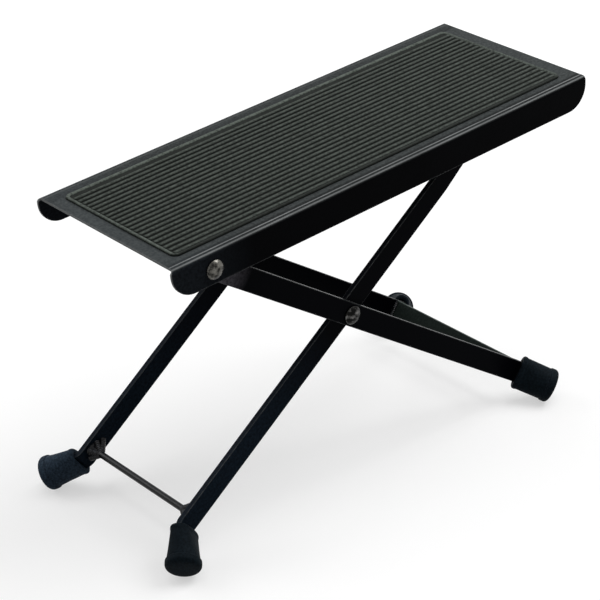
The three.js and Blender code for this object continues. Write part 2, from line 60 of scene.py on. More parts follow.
camera_data = bpy.data.cameras.new("catalogue_camera")
camera_data.lens = CAMERA_LENS
camera_data.shift_x, camera_data.shift_y = CAMERA_SHIFT
camera_data.clip_start, camera_data.clip_end = CAMERA_CLIP
camera = bpy.data.objects.new("catalogue_camera", camera_data)
scene.collection.objects.link(camera)
camera_back = -CAMERA_FORWARD.normalized()
camera_right = CAMERA_UP.cross(camera_back).normalized()
camera_up = camera_back.cross(camera_right)
camera.matrix_world = (
    Matrix.Translation(CAMERA_PLACE) @ Matrix((camera_right, camera_up, camera_back)).transposed().to_4x4()
)
scene.camera = camera
scene.view_settings.view_transform = "Standard"

# Studio. A pale floor that runs out of sight, a white surround, and three soft lamps: a large one
# high on the right, a weaker one overhead, and a weak one behind on the left for the far edges.
FLOOR_HALF_SIZE = 6.0
FLOOR_WHITE = 0.48
FLOOR_GREY = 0.35
FLOOR_WHITE_LIFT = 0.54
FLOOR_FADE = (0.45, 1.4)
SURROUND_WHITE = 1.0
SURROUND_LIGHT = 0.25
WHITE = (1, 1, 1, 1)
STUDIO_LAMPS = [
    # name, direction from the footrest, distance, size across and up, watts
    ("right_softbox", (0.58, -0.22, 0.78), 1.7, (1.3, 1.1), 20),
    ("rear_softbox", (-0.42, 0.70, 0.58), 1.8, (1.2, 0.8), 7),
    ("overhead_softbox", (0.05, 0.15, 1.0), 1.9, (1.4, 1.4), 14),
]
LAMP_TARGET = Vector((0, 0, 0.1))


def add_node(tree, kind, settings=None, inputs=None):
    """A node with its properties set and its inputs, by name or number, given a value or a link."""
    made = tree.nodes.new(kind)
    for name, value in (settings or {}).items():
        setattr(made, name, value)
    for key, value in (inputs or {}).items():
        if isinstance(value, bpy.types.NodeSocket):
            tree.links.new(value, made.inputs[key])
        else:
            made.inputs[key].default_value = value
    return made


def math_node(tree, operation, *values):
    return add_node(tree, "ShaderNodeMath", {"operation": operation}, dict(enumerate(values))).outputs[0]


def times(tree, first, second):
    return math_node(tree, "MULTIPLY", first, second)


def vector_measure(tree, operation, *vectors):
    """One number from one or two vectors, such as a length or a dot product."""
    measured = add_node(tree, "ShaderNodeVectorMath", {"operation": operation}, dict(enumerate(vectors)))
    return measured.outputs["Value"]


def map_range(tree, value, from_min, from_max, to_min=0.0, to_max=1.0):
    return add_node(tree, "ShaderNodeMapRange", inputs={
        "Value": value, "From Min": from_min, "From Max": from_max,
        "To Min": to_min, "To Max": to_max}).outputs[0]


def own_place(tree):
    """The place of the shaded point, measured in the piece's own frame."""
    return add_node(tree, "ShaderNodeTexCoord").outputs["Object"]


def emptied_tree(owner):
    """The node tree of a material or a world, before any node is in it."""
    owner.use_nodes = True
    owner.node_tree.nodes.clear()
    return owner.node_tree


def seen_directly(tree):
    """1 for rays from the camera and for those that a mirror or clear piece sends on, else 0."""
    path = add_node(tree, "ShaderNodeLightPath").outputs
    mirrored = math_node(tree, "MAXIMUM", path["Is Glossy Ray"], path["Is Transmission Ray"])
    return math_node(tree, "MAXIMUM", path["Is Camera Ray"], mirrored)


world = bpy.data.worlds.new("white_surround")
scene.world = world
world_tree = emptied_tree(world)
surround = map_range(world_tree, seen_directly(world_tree), 0.0, 1.0, SURROUND_LIGHT, SURROUND_WHITE)
background = add_node(world_tree, "ShaderNodeBackground", inputs={"Color": WHITE, "Strength": surround})
add_node(world_tree, "ShaderNodeOutputWorld", inputs={"Surface": background.outputs[0]})

floor_material = bpy.data.materials.new("pale_floor")
floor_tree = emptied_tree(floor_material)
floor_seen = seen_directly(floor_tree)
floor_tone = map_range(floor_tree, floor_seen, 0.0, 1.0, FLOOR_GREY, FLOOR_WHITE)
floor_paint = add_node(floor_tree, "ShaderNodeBsdfDiffuse", inputs={"Color": floor_tone})
from_footrest = vector_measure(floor_tree, "LENGTH", own_place(floor_tree))
lift_there = map_range(floor_tree, from_footrest, *FLOOR_FADE, FLOOR_WHITE_LIFT, 1.0)
lift = times(floor_tree, floor_seen, lift_there)
floor_lift = add_node(floor_tree, "ShaderNodeEmission", inputs={"Color": WHITE, "Strength": lift})
floor_sum = add_node(floor_tree, "ShaderNodeAddShader", inputs={
    0: floor_paint.outputs[0], 1: floor_lift.outputs[0]})
add_node(floor_tree, "ShaderNodeOutputMaterial", inputs={"Surface": floor_sum.outputs[0]})
floor_mesh = bpy.data.meshes.new("pale_floor")
floor_mesh.from_pydata(
    [(x * FLOOR_HALF_SIZE, y * FLOOR_HALF_SIZE, 0) for x, y in ((-1, -1), (1, -1), (1, 1), (-1, 1))],
    [], [(0, 1, 2, 3)])
floor_mesh.materials.append(floor_material)
floor = bpy.data.objects.new("pale_floor", floor_mesh)
scene.collection.objects.link(floor)

for lamp_name, direction, distance, (across, upward), watts in STUDIO_LAMPS:
    lamp_data = bpy.data.lights.new(lamp_name, "AREA")
    lamp_data.shape = "RECTANGLE"
    lamp_data.size, lamp_data.size_y = across, upward
    lamp_data.energy = watts
    lamp = bpy.data.objects.new(lamp_name, lamp_data)
    scene.collection.objects.link(lamp)
    lamp.location = LAMP_TARGET + Vector(direction).normalized() * distance
    lamp.rotation_mode = "QUATERNION"
    lamp.rotation_quaternion = (lamp.location - LAMP_TARGET).to_track_quat("Z", "Y")

# Footplate. A blank of 1.2 mm sheet steel with its corners cut round, folded down along both long
# sides to make the flanges, and stove-enamelled satin black. At the rivet end the flanges reach a
# little past the plate's end edge.
PLATE_LENGTH = 0.2799
PLATE_WIDTH = 0.110
PLATE_SHEET = 0.0012
PIVOT_INSET = 0.0236
PIVOT_DROP = 0.0093
FLANGE_DEPTH = 0.0169
FLANGE_CORNER_RADIUS = 0.013
FLANGE_EAR = 0.0015
FOLD_RADIUS = 0.002
SHEET_EDGE_RADIUS = 0.0003
FOLD_STEPS = 12
CORNER_STEPS = 14
# a fold's painted highlight: how far round the fold it lies and how wide it is, in radians, and the
# share of it on the rear fold; then a second painted highlight line, a little inside the fold
FOLD_HIGHLIGHT_TURN = 0.46
FOLD_HIGHLIGHT_SPREAD = 0.36
FOLD_HIGHLIGHT_REAR = 0.2
CREASE_INSET = 0.0015
CREASE_SPREAD = 0.0006
CREASE_HIGHLIGHT = 1.15
FRONT_TO_REAR = (-0.001, 0.001)
PLATE_COLOUR = (0.0015, 0.0016, 0.0021, 1)
# the dust colour also paints the sheen that the plate's top catches from above
PLATE_DUST_SHEEN_COLOUR = (0.088, 0.098, 0.098, 1)
# places across the plate, from front to rear, and the share of the dust and painted top sheen kept there
PLATE_DUST_SHEEN_ACROSS = [
    (-0.0550, 0.42), (-0.0498, 0.40), (-0.0485, 0.95), (0.0447, 1.0), (0.0454, 0.60), (0.0550, 1.0)]
# a painted highlight, paler and bluer, on the coat round the plate's rivet end
END_HIGHLIGHT_COLOUR = (0.013, 0.016, 0.020, 1)
END_HIGHLIGHT_REACH = (0.014, 0.048)
# the colour of worn edges, and of the painted highlights along the folds and on the left end
ENAMEL_WORN_AND_HIGHLIGHT_COLOUR = (0.22, 0.23, 0.23, 1)


def joint_place(name):
    return Vector(next(joint["pos_m"] for joint in frame["joints"] if joint["name"] == name))


def standing_matrix(origin, along):
    """A frame whose X is along, whose Y is the footrest's Y and whose Z is square to both."""
    across = Vector((0, 1, 0))
    upward = along.cross(across)
    return Matrix.Translation(origin) @ Matrix((along, across, upward)).transposed().to_4x4()


def new_piece(name, mesh, matrix=None):
    """An object at the origin whose place is in its mesh."""
    if matrix is not None:
        mesh.transform(matrix)
    piece = bpy.data.objects.new(name, mesh)
    scene.collection.objects.link(piece)
    return piece


def mesh_from(name, shape):
    mesh = bpy.data.meshes.new(name)
    shape.to_mesh(mesh)
    shape.free()
    return mesh


def bake_modifiers(piece):
    """Turns a piece with modifiers into its plain finished mesh."""
    bpy.context.view_layer.update()
    evaluated = piece.evaluated_get(bpy.context.evaluated_depsgraph_get())
    finished = bpy.data.meshes.new_from_object(evaluated)
    finished.name = piece.name
    piece.modifiers.clear()
    piece.data = finished


def smooth_faces(mesh):
    mesh.polygons.foreach_set("use_smooth", [True] * len(mesh.polygons))


def round_edges(piece, radius, steps=3, angle=35):
    """Rounds every edge sharper than the angle, and keeps the flats flat in the shading."""
    smooth_faces(piece.data)
    bevel = piece.modifiers.new("edge_rounding", "BEVEL")
    bevel.width, bevel.segments = radius, steps
    bevel.limit_method, bevel.angle_limit = "ANGLE", math.radians(angle)
    bevel.use_clamp_overlap = True
    weighted = piece.modifiers.new("flat_faces", "WEIGHTED_NORMAL")
    weighted.mode, weighted.keep_sharp = "FACE_AREA", False
    bake_modifiers(piece)


def group_tree(name, inputs, outputs):
    """An empty shader node group with its named values in and out, and its two end nodes."""
    tree = bpy.data.node_groups.new(name, "ShaderNodeTree")
    for socket_name, default in inputs.items():
        made = tree.interface.new_socket(socket_name, in_out="INPUT", socket_type="NodeSocketFloat")
        made.default_value = default
    for socket_name in outputs:
        tree.interface.new_socket(socket_name, in_out="OUTPUT", socket_type="NodeSocketFloat")
    return tree, tree.nodes.new("NodeGroupInput").outputs, tree.nodes.new("NodeGroupOutput")


def close_group(tree, end, results):
    for name, socket in results.items():
        tree.links.new(socket, end.inputs[name])


def object_noise(tree, vector, scale, detail, roughness):
    return add_node(tree, "ShaderNodeTexNoise", inputs={
        "Vector": vector, "Scale": scale, "Detail": detail, "Roughness": roughness}).outputs["Fac"]


def mix_colour(tree, factor, first, second):
    mixed = add_node(tree, "ShaderNodeMix", {"data_type": "RGBA"}, {0: factor, 6: first, 7: second})
    return mixed.outputs[2]


def surface_normal(tree):
    return add_node(tree, "ShaderNodeNewGeometry").outputs["Normal"]


def split_vector(tree, vector):
    """The X, Y and Z of a vector."""
    return add_node(tree, "ShaderNodeSeparateXYZ", inputs={0: vector}).outputs


def toned(colour, share):
    """A colour brought down or up by a share, and kept within white."""
    return tuple(min(share * channel, 1.0) for channel in colour[:3]) + (1,)


# Worn edges: where a corner is rubbed bright. The surface normal is compared with one softened over
# the wear's width, and noise breaks the rubbed line up.
CORNER_AGREEMENT = (0.995, 0.90)
WEAR_BREAK_SCALE = 240.0
WEAR_BREAK_RANGE = (0.38, 0.66)
edge_wear, wear_in, wear_end = group_tree("edge_wear", {"Width": 0.0005, "Breakup": 0.5}, ["Mask"])
soft_normal = add_node(edge_wear, "ShaderNodeBevel", {"samples": 4}, {"Radius": wear_in["Width"]}).outputs[0]
agreement = vector_measure(edge_wear, "DOT_PRODUCT", soft_normal, surface_normal(edge_wear))
corner = map_range(edge_wear, agreement, *CORNER_AGREEMENT)
wear_noise = object_noise(edge_wear, own_place(edge_wear), WEAR_BREAK_SCALE, 3.0, 0.6)
broken = map_range(edge_wear, wear_noise, *WEAR_BREAK_RANGE)
kept = math_node(edge_wear, "SUBTRACT", 1.0, times(edge_wear, wear_in["Breakup"], broken))
close_group(edge_wear, wear_end, {"Mask": times(edge_wear, corner, kept)})

# Dust and top sheen: what faces up is painted lighter, partly with fine dust and flecks and partly
# as a painted sheen, the light that tops catch from above; a little thinner in soft patches.
DUST_SHEEN_FACING = (0.35, 0.98)
DUST_SHEEN_PATCH_RANGE = (0.25, 0.75)
DUST_SHEEN_THINNEST = 0.82
SPECK_SCALE = 760.0
SPECK_RANGE = (0.28, 0.72)
dust_and_top_sheen, dust_sheen_in, dust_sheen_end = group_tree(
    "dust_and_top_sheen", {"Amount": 0.5, "Patch Scale": 30.0, "Fleck": 0.3}, ["Mask"])
dust_sheen_place = own_place(dust_and_top_sheen)
facing = split_vector(dust_and_top_sheen, surface_normal(dust_and_top_sheen))["Z"]
facing_up = map_range(dust_and_top_sheen, facing, *DUST_SHEEN_FACING)
patches = object_noise(dust_and_top_sheen, dust_sheen_place, dust_sheen_in["Patch Scale"], 4.0, 0.6)
patchy = map_range(dust_and_top_sheen, patches, *DUST_SHEEN_PATCH_RANGE, DUST_SHEEN_THINNEST, 1.0)
speck_noise = object_noise(dust_and_top_sheen, dust_sheen_place, SPECK_SCALE, 1.0, 0.5)
specks = map_range(dust_and_top_sheen, speck_noise, *SPECK_RANGE, -1.0, 1.0)
flecked = math_node(dust_and_top_sheen, "ADD", 1.0, times(dust_and_top_sheen, specks, dust_sheen_in["Fleck"]))
cover = times(dust_and_top_sheen, patchy, flecked)
lying = times(dust_and_top_sheen, facing_up, cover)
close_group(dust_and_top_sheen, dust_sheen_end, {"Mask": times(dust_and_top_sheen, lying, dust_sheen_in["Amount"])})

# Enamel skin: the faint orange peel and the fine grain of sprayed and stoved enamel.
GRAIN_SHARE = 0.45
MOTTLE_SCALE = 45.0
MOTTLE_RANGE = (0.3, 0.7)
enamel_skin, enamel_in, enamel_end = group_tree(
    "enamel_skin", {"Peel Scale": 380.0, "Grain Scale": 1900.0}, ["Height", "Mottle"])
enamel_place = own_place(enamel_skin)
peel = object_noise(enamel_skin, enamel_place, enamel_in["Peel Scale"], 2.0, 0.45)
grain = object_noise(enamel_skin, enamel_place, enamel_in["Grain Scale"], 1.0, 0.5)
mottle = object_noise(enamel_skin, enamel_place, MOTTLE_SCALE, 4.0, 0.6)
close_group(enamel_skin, enamel_end, {
    "Height": math_node(enamel_skin, "ADD", peel, times(enamel_skin, grain, GRAIN_SHARE)),
    "Mottle": map_range(enamel_skin, mottle, *MOTTLE_RANGE)})

ENAMEL_EDGE = {"Width": 0.0008, "Breakup": 0.6}
ENAMEL_DUST_SHEEN_PATCH = 38.0
ENAMEL_DARK_SHARE = 0.72
PATCH_GRIT_SCALE = 620.0
PATCH_GRIT_RANGE = (0.30, 0.62)
PATCH_GRIT_LEAST = 0.25
FOLD_HIGHLIGHT_LEAST = 0.6
HIGHLIT_END_FACING = (0.45, 0.85)


def group_node(tree, group, inputs=None):
    """A shader group placed in a tree with its inputs set; gives its outputs."""
    return add_node(tree, "ShaderNodeGroup", {"node_tree": group}, inputs).outputs


def finish_surface(tree, height, depth, inputs):
    """Ends a material with one Principled surface, whose relief stands the depth high."""
    relief = add_node(tree, "ShaderNodeBump", inputs={"Strength": 1.0, "Distance": depth, "Height": height})
    surface = add_node(tree, "ShaderNodeBsdfPrincipled", inputs={**inputs, "Normal": relief.outputs[0]})
    add_node(tree, "ShaderNodeOutputMaterial", inputs={"Surface": surface.outputs[0]})


def enamel_material(name, colour, dust_sheen_colour, dust, sheen_rough, specular, bump, wear,
                    fleck=0.2, fold_highlight_share=0.0, highlit_end=None, dust_sheen_across=None, paler_patch=None):
    """Stove enamel: a grained black coat, worn at the edges, with painted highlights along its folds,
    and lighter on top with dust and a painted sheen.

    sheen_rough is the roughness of its glossiest and its dullest patches. Faces turned along the
    given end direction are painted bright as a highlight. The shares given across Y say how much of
    the dust and painted sheen is kept at each Y, in rising order. Round a paler patch's place, from
    its full reach to its end, the coat turns to the patch's colour.
    """
    material = bpy.data.materials.new(name)
    tree = emptied_tree(material)
    skin = group_node(tree, enamel_skin)
    edges = group_node(tree, edge_wear, ENAMEL_EDGE)["Mask"]
    dust_and_sheen = group_node(tree, dust_and_top_sheen, {
        "Amount": dust, "Patch Scale": ENAMEL_DUST_SHEEN_PATCH, "Fleck": fleck})["Mask"]
    coat = mix_colour(tree, skin["Mottle"], toned(colour, ENAMEL_DARK_SHARE), colour)
    # a paler patch round a place: a painted highlight at the plate's end, a painted reflection by the pivots
    if paler_patch:
        patch_place, full_reach, end_reach, patch_colour = paler_patch
        from_side = add_node(tree, "ShaderNodeVectorMath", {"operation": "MULTIPLY"}, {
            0: own_place(tree), 1: (1, 0, 1)}).outputs[0]
        reach = vector_measure(tree, "DISTANCE", from_side, patch_place)
        near = map_range(tree, reach, end_reach, full_reach)
        grit_noise = object_noise(tree, from_side, PATCH_GRIT_SCALE, 3.0, 0.7)
        grit = map_range(tree, grit_noise, *PATCH_GRIT_RANGE, PATCH_GRIT_LEAST, 1.0)
        coat = mix_colour(tree, times(tree, near, grit), coat, patch_colour)
    # the fold attribute paints a highlight along the folds
    fold_highlight = add_node(tree, "ShaderNodeAttribute", {"attribute_name": "fold_highlight"}).outputs["Fac"]
    fold_highlight_mask = times(tree, times(tree, fold_highlight, fold_highlight_share),
                      map_range(tree, skin["Mottle"], 0.0, 1.0, FOLD_HIGHLIGHT_LEAST, 1.0))
    wear_and_highlight = math_node(tree, "MAXIMUM", times(tree, edges, wear), fold_highlight_mask)
    # faces turned towards the given end are painted bright: a painted highlight
    if highlit_end:
        turned = vector_measure(tree, "DOT_PRODUCT", surface_normal(tree), highlit_end)
        wear_and_highlight = math_node(tree, "MAXIMUM", wear_and_highlight, map_range(tree, turned, *HIGHLIT_END_FACING))
    # how much of the dust and painted sheen is kept at each Y
    if dust_sheen_across:
        place = split_vector(tree, own_place(tree))["Y"]
        first, last = dust_sheen_across[0][0], dust_sheen_across[-1][0]
        left = add_node(tree, "ShaderNodeValToRGB", inputs={0: map_range(tree, place, first, last)})
        stops = left.color_ramp.elements
        for stop in dust_sheen_across[1:-1]:
            stops.new((stop[0] - first) / (last - first))
        for stop, (y, share) in zip(stops, dust_sheen_across):
            stop.position, stop.color = (y - first) / (last - first), (share, share, share, 1)
        dust_and_sheen = times(tree, dust_and_sheen, left.outputs[0])
    dusty = mix_colour(tree, dust_and_sheen, coat, dust_sheen_colour)
    brightened = mix_colour(tree, wear_and_highlight, dusty, ENAMEL_WORN_AND_HIGHLIGHT_COLOUR)
    rough_low, rough_high = sheen_rough
    rough = map_range(tree, skin["Mottle"], 0.0, 1.0, rough_high, rough_low)
    finish_surface(tree, skin["Height"], bump, {
        "Base Color": brightened, "Roughness": rough, "Specular IOR Level": specular})
    return material


flange_joint = joint_place("platform_follow")
plate_up = Vector(frame["record"]["mounts"][0]["axis"]).normalized()
plate_matrix = standing_matrix(flange_joint, Vector((plate_up.z, 0, -plate_up.x)))

flat_half = PLATE_WIDTH / 2 - FOLD_RADIUS
fold_length = FOLD_RADIUS * math.pi / 2
blank_half = flat_half + fold_length + FLANGE_DEPTH - FOLD_RADIUS
plate_start = -PIVOT_INSET


def geometry_tree(name, inputs):
    """An empty geometry node tree with its named inputs, each of a kind, and its two end nodes."""
    tree = bpy.data.node_groups.new(name, "GeometryNodeTree")
    tree.interface.new_socket("Geometry", in_out="INPUT", socket_type="NodeSocketGeometry")
    for socket_name, kind in inputs.items():
        tree.interface.new_socket(socket_name, in_out="INPUT", socket_type="NodeSocket" + kind)
    tree.interface.new_socket("Geometry", in_out="OUTPUT", socket_type="NodeSocketGeometry")
    return tree, tree.nodes.new("NodeGroupInput").outputs, tree.nodes.new("NodeGroupOutput")


def finish_geometry(tree, end, geometry, material):
    solid = add_node(tree, "GeometryNodeRealizeInstances", inputs={0: geometry})
    dressed = add_node(tree, "GeometryNodeSetMaterial", inputs={0: solid.outputs[0], "Material": material})
    tree.links.new(dressed.outputs[0], end.inputs[0])


def grow_modifier(piece, tree, values):
    """Adds a geometry node tree to a piece with its named inputs set."""
    modifier = piece.modifiers.new(tree.name, "NODES")
    modifier.node_group = tree
    for socket in tree.interface.items_tree:
        if socket.item_type == "SOCKET" and socket.in_out == "INPUT" and socket.name in values:
            modifier[socket.identifier] = values[socket.name]
    piece.update_tag()


def folding_tree():
    """Folds a flat blank down along two lines parallel to X, and marks a painted highlight.

    The mark is a painted highlight along each fold's ridge and along a crease just inside it, and it is
    fainter on the rear side.
    """
    tree, entry, end = geometry_tree("sheet_folding", {
        "Flat Half": "Float", "Fold Radius": "Float", "Material": "Material"})
    flat, radius = entry["Flat Half"], entry["Fold Radius"]
    place = split_vector(tree, add_node(tree, "GeometryNodeInputPosition").outputs[0])
    run = math_node(tree, "ABSOLUTE", place["Y"])
    over = math_node(tree, "MAXIMUM", math_node(tree, "SUBTRACT", run, flat), 0.0)
    turn = math_node(tree, "MINIMUM", math_node(tree, "DIVIDE", over, radius), math.pi / 2)
    fold_run = times(tree, radius, math.pi / 2)
    drop = math_node(tree, "MAXIMUM", math_node(tree, "SUBTRACT", over, fold_run), 0.0)
    out = math_node(tree, "ADD", math_node(tree, "MINIMUM", run, flat),
                    times(tree, radius, math_node(tree, "SINE", turn)))
    dip = times(tree, radius, math_node(tree, "SUBTRACT", math_node(tree, "COSINE", turn), 1.0))
    folded = add_node(tree, "ShaderNodeCombineXYZ", inputs={
        "X": place["X"], "Y": times(tree, out, math_node(tree, "SIGN", place["Y"])),
        "Z": math_node(tree, "SUBTRACT", dip, drop)})
    # painted highlight along the fold's ridge and along a crease inside it, fainter at the rear
    off_ridge = math_node(tree, "ABSOLUTE", math_node(tree, "SUBTRACT", turn, FOLD_HIGHLIGHT_TURN))
    ridge = map_range(tree, off_ridge, 0.0, FOLD_HIGHLIGHT_SPREAD, 1.0, 0.0)
    inside = math_node(tree, "SUBTRACT", flat, run)
    off_crease = math_node(tree, "ABSOLUTE", math_node(tree, "SUBTRACT", inside, CREASE_INSET))
    crease = map_range(tree, off_crease, 0.0, CREASE_SPREAD, CREASE_HIGHLIGHT, 0.0)
    brightened = math_node(tree, "MAXIMUM", ridge, crease)
    front_share = map_range(tree, place["Y"], *FRONT_TO_REAR, 1.0, FOLD_HIGHLIGHT_REAR)
    highlight = times(tree, brightened, front_share)
    marked = add_node(tree, "GeometryNodeStoreNamedAttribute", {"data_type": "FLOAT", "domain": "POINT"}, {
        "Geometry": entry["Geometry"], "Name": "fold_highlight", "Value": highlight})
    bent = add_node(tree, "GeometryNodeSetPosition", inputs={
        "Geometry": marked.outputs[0], "Position": folded.outputs[0]})
    finish_geometry(tree, end, bent.outputs[0], entry["Material"])
    return tree


blank = bmesh.new()
blank_outline = []
blank_end = plate_start + PLATE_LENGTH
ear_end = plate_start - FLANGE_EAR
corner_across = blank_half - FLANGE_CORNER_RADIUS
corner_centres = [
    (blank_end - FLANGE_CORNER_RADIUS, corner_across, 0),
    (ear_end + FLANGE_CORNER_RADIUS, corner_across, 90),
    (ear_end + FLANGE_CORNER_RADIUS, -corner_across, 180),
    (blank_end - FLANGE_CORNER_RADIUS, -corner_across, 270),
]
for corner_x, corner_s, start_angle in corner_centres:
    for step in range(CORNER_STEPS + 1):
        angle = math.radians(start_angle + 90 * step / CORNER_STEPS)
        blank_outline.append(blank.verts.new((
            corner_x + FLANGE_CORNER_RADIUS * math.cos(angle),
            corner_s + FLANGE_CORNER_RADIUS * math.sin(angle), 0)))
    if start_angle == 90:
        for ear_x, ear_s in ((ear_end, flat_half + fold_length), (plate_start, flat_half),
                             (plate_start, -flat_half), (ear_end, -flat_half - fold_length)):
            blank_outline.append(blank.verts.new((ear_x, ear_s, 0)))
blank.faces.new(blank_outline)
fold_lines = [flat_half + fold_length * step / FOLD_STEPS for step in range(FOLD_STEPS + 1)]
crease_lines = [flat_half - CREASE_INSET + CREASE_SPREAD * step for step in (-1, 0, 1)]
for line in fold_lines + crease_lines:
    for side in (1, -1):
        bmesh.ops.bisect_plane(blank, geom=blank.verts[:] + blank.edges[:] + blank.faces[:],
                               plane_co=(0, side * line, 0), plane_no=(0, 1, 0))
footplate = new_piece("footplate_folded", mesh_from("footplate_folded", blank))
plate_end = plate_matrix @ Vector((plate_start, 0, 0))
plate_enamel = enamel_material(
    "satin_black_enamel", PLATE_COLOUR, PLATE_DUST_SHEEN_COLOUR, dust=0.55, sheen_rough=(0.34, 0.46),
    specular=0.009, bump=0.00005, wear=0.5, fleck=0.34, fold_highlight_share=1.0,
    highlit_end=-plate_matrix.col[0].to_3d(), dust_sheen_across=PLATE_DUST_SHEEN_ACROSS,
    paler_patch=((plate_end.x, 0, plate_end.z), *END_HIGHLIGHT_REACH, END_HIGHLIGHT_COLOUR))
grow_modifier(footplate, folding_tree(), {
    "Flat Half": flat_half, "Fold Radius": FOLD_RADIUS, "Material": plate_enamel})
sheet_thickness = footplate.modifiers.new("sheet", "SOLIDIFY")
sheet_thickness.thickness, sheet_thickness.offset = PLATE_SHEET, -1
sheet_thickness.use_even_offset = True
round_edges(footplate, SHEET_EDGE_RADIUS)
footplate.data.transform(plate_matrix @ Matrix.Translation((0, 0, PIVOT_DROP)))
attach(footplate, "platform")
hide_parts("top_plate")

# Tread mat. One moulded sheet of black rubber glued on the footplate, with a rounded rim all round
# and twenty-two half-round ribs that run along it and taper into the rim.
MAT_MARGIN = 0.009
MAT_LEFT_MARGIN = 0.0076
MAT_REAR_MARGIN = 0.0098
MAT_CORNER_RADIUS = 0.004
MAT_LIFT = 0.0001
MAT_BASE = 0.0004
MAT_RIM_WIDTH = 0.0022
MAT_RIM_RISE = 0.0006
MAT_RIM_CREST = 0.0007
MAT_RIM_FOOT = 0.0003
MAT_EDGE_RADIUS = 0.00015
MAT_RIB_RISE = 0.0007
MAT_RIB_WIDTH = 0.0027
MAT_RIB_END_OVERLAP = 0.0004
MAT_RIB_END_GIRTH = 0.02
MAT_RIB_PITCH = 0.00385
MAT_RIB_SHIFT = -0.0019
MAT_RIB_COUNT = 22
RIM_STEPS = 8
MAT_CORNER_STEPS = 8
RIB_ARC_POINTS = 13
RIB_END_STEPS = 6
MAT_COLOUR = (0.0085, 0.0102, 0.0088, 1)
# crests are painted this lighter colour as a highlight, so the dark body left in the grooves reads as shade
MAT_CREST_HIGHLIGHT_COLOUR = (0.098, 0.114, 0.100, 1)
# the dust colour also paints the sheen that up-facing faces catch from above
MAT_DUST_SHEEN_COLOUR = (0.105, 0.118, 0.108, 1)
# how strongly each crest is painted lighter as a highlight, most on the rear rim, and how the
# highlight fades down a rim and a rib
RIM_CREST_HIGHLIGHT = {"rear": 1.0, "left": 0.76, "right": 0.65, "front": 0.05}
RIM_HIGHLIGHT_CLIMB = 1.2
RIM_HIGHLIGHT_FALL = 0.7
RIB_CREST_HIGHLIGHT = 0.51
RIB_HIGHLIGHT_CLIMB = 3.5


def loft(shape, rings):
    """Skins closed rings of equal length in order, with a face across each end."""
    rows = [[shape.verts.new(point) for point in ring] for ring in rings]
    for near, far in zip(rows, rows[1:]):
        for i in range(len(near)):
            j = (i + 1) % len(near)
            shape.faces.new((near[i], near[j], far[j], far[i]))
    shape.faces.new(reversed(rows[0]))
    shape.faces.new(rows[-1])
    return rows


# Rubber skin: the fine matt grain, the pits and the faint flow marks of moulded rubber.
PIT_SCALE = 1500.0
PIT_SHARE = 0.5
rubber_skin, rubber_in, rubber_end = group_tree(
    "rubber_skin", {"Grain Scale": 2600.0, "Flow Scale": 60.0}, ["Height", "Mottle"])
rubber_place = own_place(rubber_skin)
rubber_grain = object_noise(rubber_skin, rubber_place, rubber_in["Grain Scale"], 2.0, 0.6)
pits = add_node(rubber_skin, "ShaderNodeTexVoronoi", inputs={
    "Vector": rubber_place, "Scale": PIT_SCALE}).outputs["Distance"]
flow = object_noise(rubber_skin, rubber_place, rubber_in["Flow Scale"], 5.0, 0.65)
close_group(rubber_skin, rubber_end, {
    "Height": math_node(rubber_skin, "ADD", rubber_grain, times(rubber_skin, pits, PIT_SHARE)),
    "Mottle": map_range(rubber_skin, flow, *MOTTLE_RANGE)})

RUBBER_EDGE = {"Width": 0.0010, "Breakup": 0.5}
RUBBER_DUST_SHEEN_PATCH = 26.0
RUBBER_DARK_SHARE = 0.70
RUBBER_ROUGH_SPREAD = 0.06
STIPPLE_SCALE = 850.0
STIPPLE_RANGE = (0.34, 0.66)
STIPPLE_SHARE = 0.7


def rubber_material(name, colour, dust_sheen_colour, dust, rough, specular, bump, fleck=0.2, edge_rub=0.35,
                    crest_highlight_colour=None, grain=0.0):
    """Matt moulded rubber, rubbed at the edges and a little lighter on top with dust and a painted sheen.

    A crest colour, where given, is painted on the crests as a highlight, and grain is how far the body
    is stippled darker and paler.
    """
    material = bpy.data.materials.new(name)
    tree = emptied_tree(material)
    skin = group_node(tree, rubber_skin)
    edges = group_node(tree, edge_wear, RUBBER_EDGE)["Mask"]
    dust_and_sheen = group_node(tree, dust_and_top_sheen, {
        "Amount": dust, "Patch Scale": RUBBER_DUST_SHEEN_PATCH, "Fleck": fleck})["Mask"]
    body = mix_colour(tree, skin["Mottle"], toned(colour, RUBBER_DARK_SHARE), colour)
    if grain:
        stipple_noise = object_noise(tree, own_place(tree), STIPPLE_SCALE, 2.0, 0.6)
        stipple = map_range(tree, stipple_noise, *STIPPLE_RANGE)
        stippled = mix_colour(tree, stipple, toned(colour, 1 - grain), toned(colour, 1 + grain))
        body = mix_colour(tree, STIPPLE_SHARE, body, stippled)
    # crests painted lighter where the crest attribute is set: a painted highlight
    if crest_highlight_colour:
        crest_highlight_share = add_node(tree, "ShaderNodeAttribute", {"attribute_name": "crest_highlight"}).outputs["Fac"]
        grit_noise = object_noise(tree, own_place(tree), SPECK_SCALE, 1.0, 0.5)
        grit = map_range(tree, grit_noise, *SPECK_RANGE, 1.0 - fleck, 1.0 + fleck)
        body = mix_colour(tree, times(tree, crest_highlight_share, grit), body, crest_highlight_colour)
    brightened = mix_colour(tree, times(tree, edges, edge_rub), body, dust_sheen_colour)
    dusty = mix_colour(tree, dust_and_sheen, brightened, dust_sheen_colour)
    rough_there = map_range(tree, skin["Mottle"], 0.0, 1.0,
                            rough + RUBBER_ROUGH_SPREAD, rough - RUBBER_ROUGH_SPREAD)
    finish_surface(tree, skin["Height"], bump, {
        "Base Color": dusty, "Roughness": rough_there, "Specular IOR Level": specular})
    return material


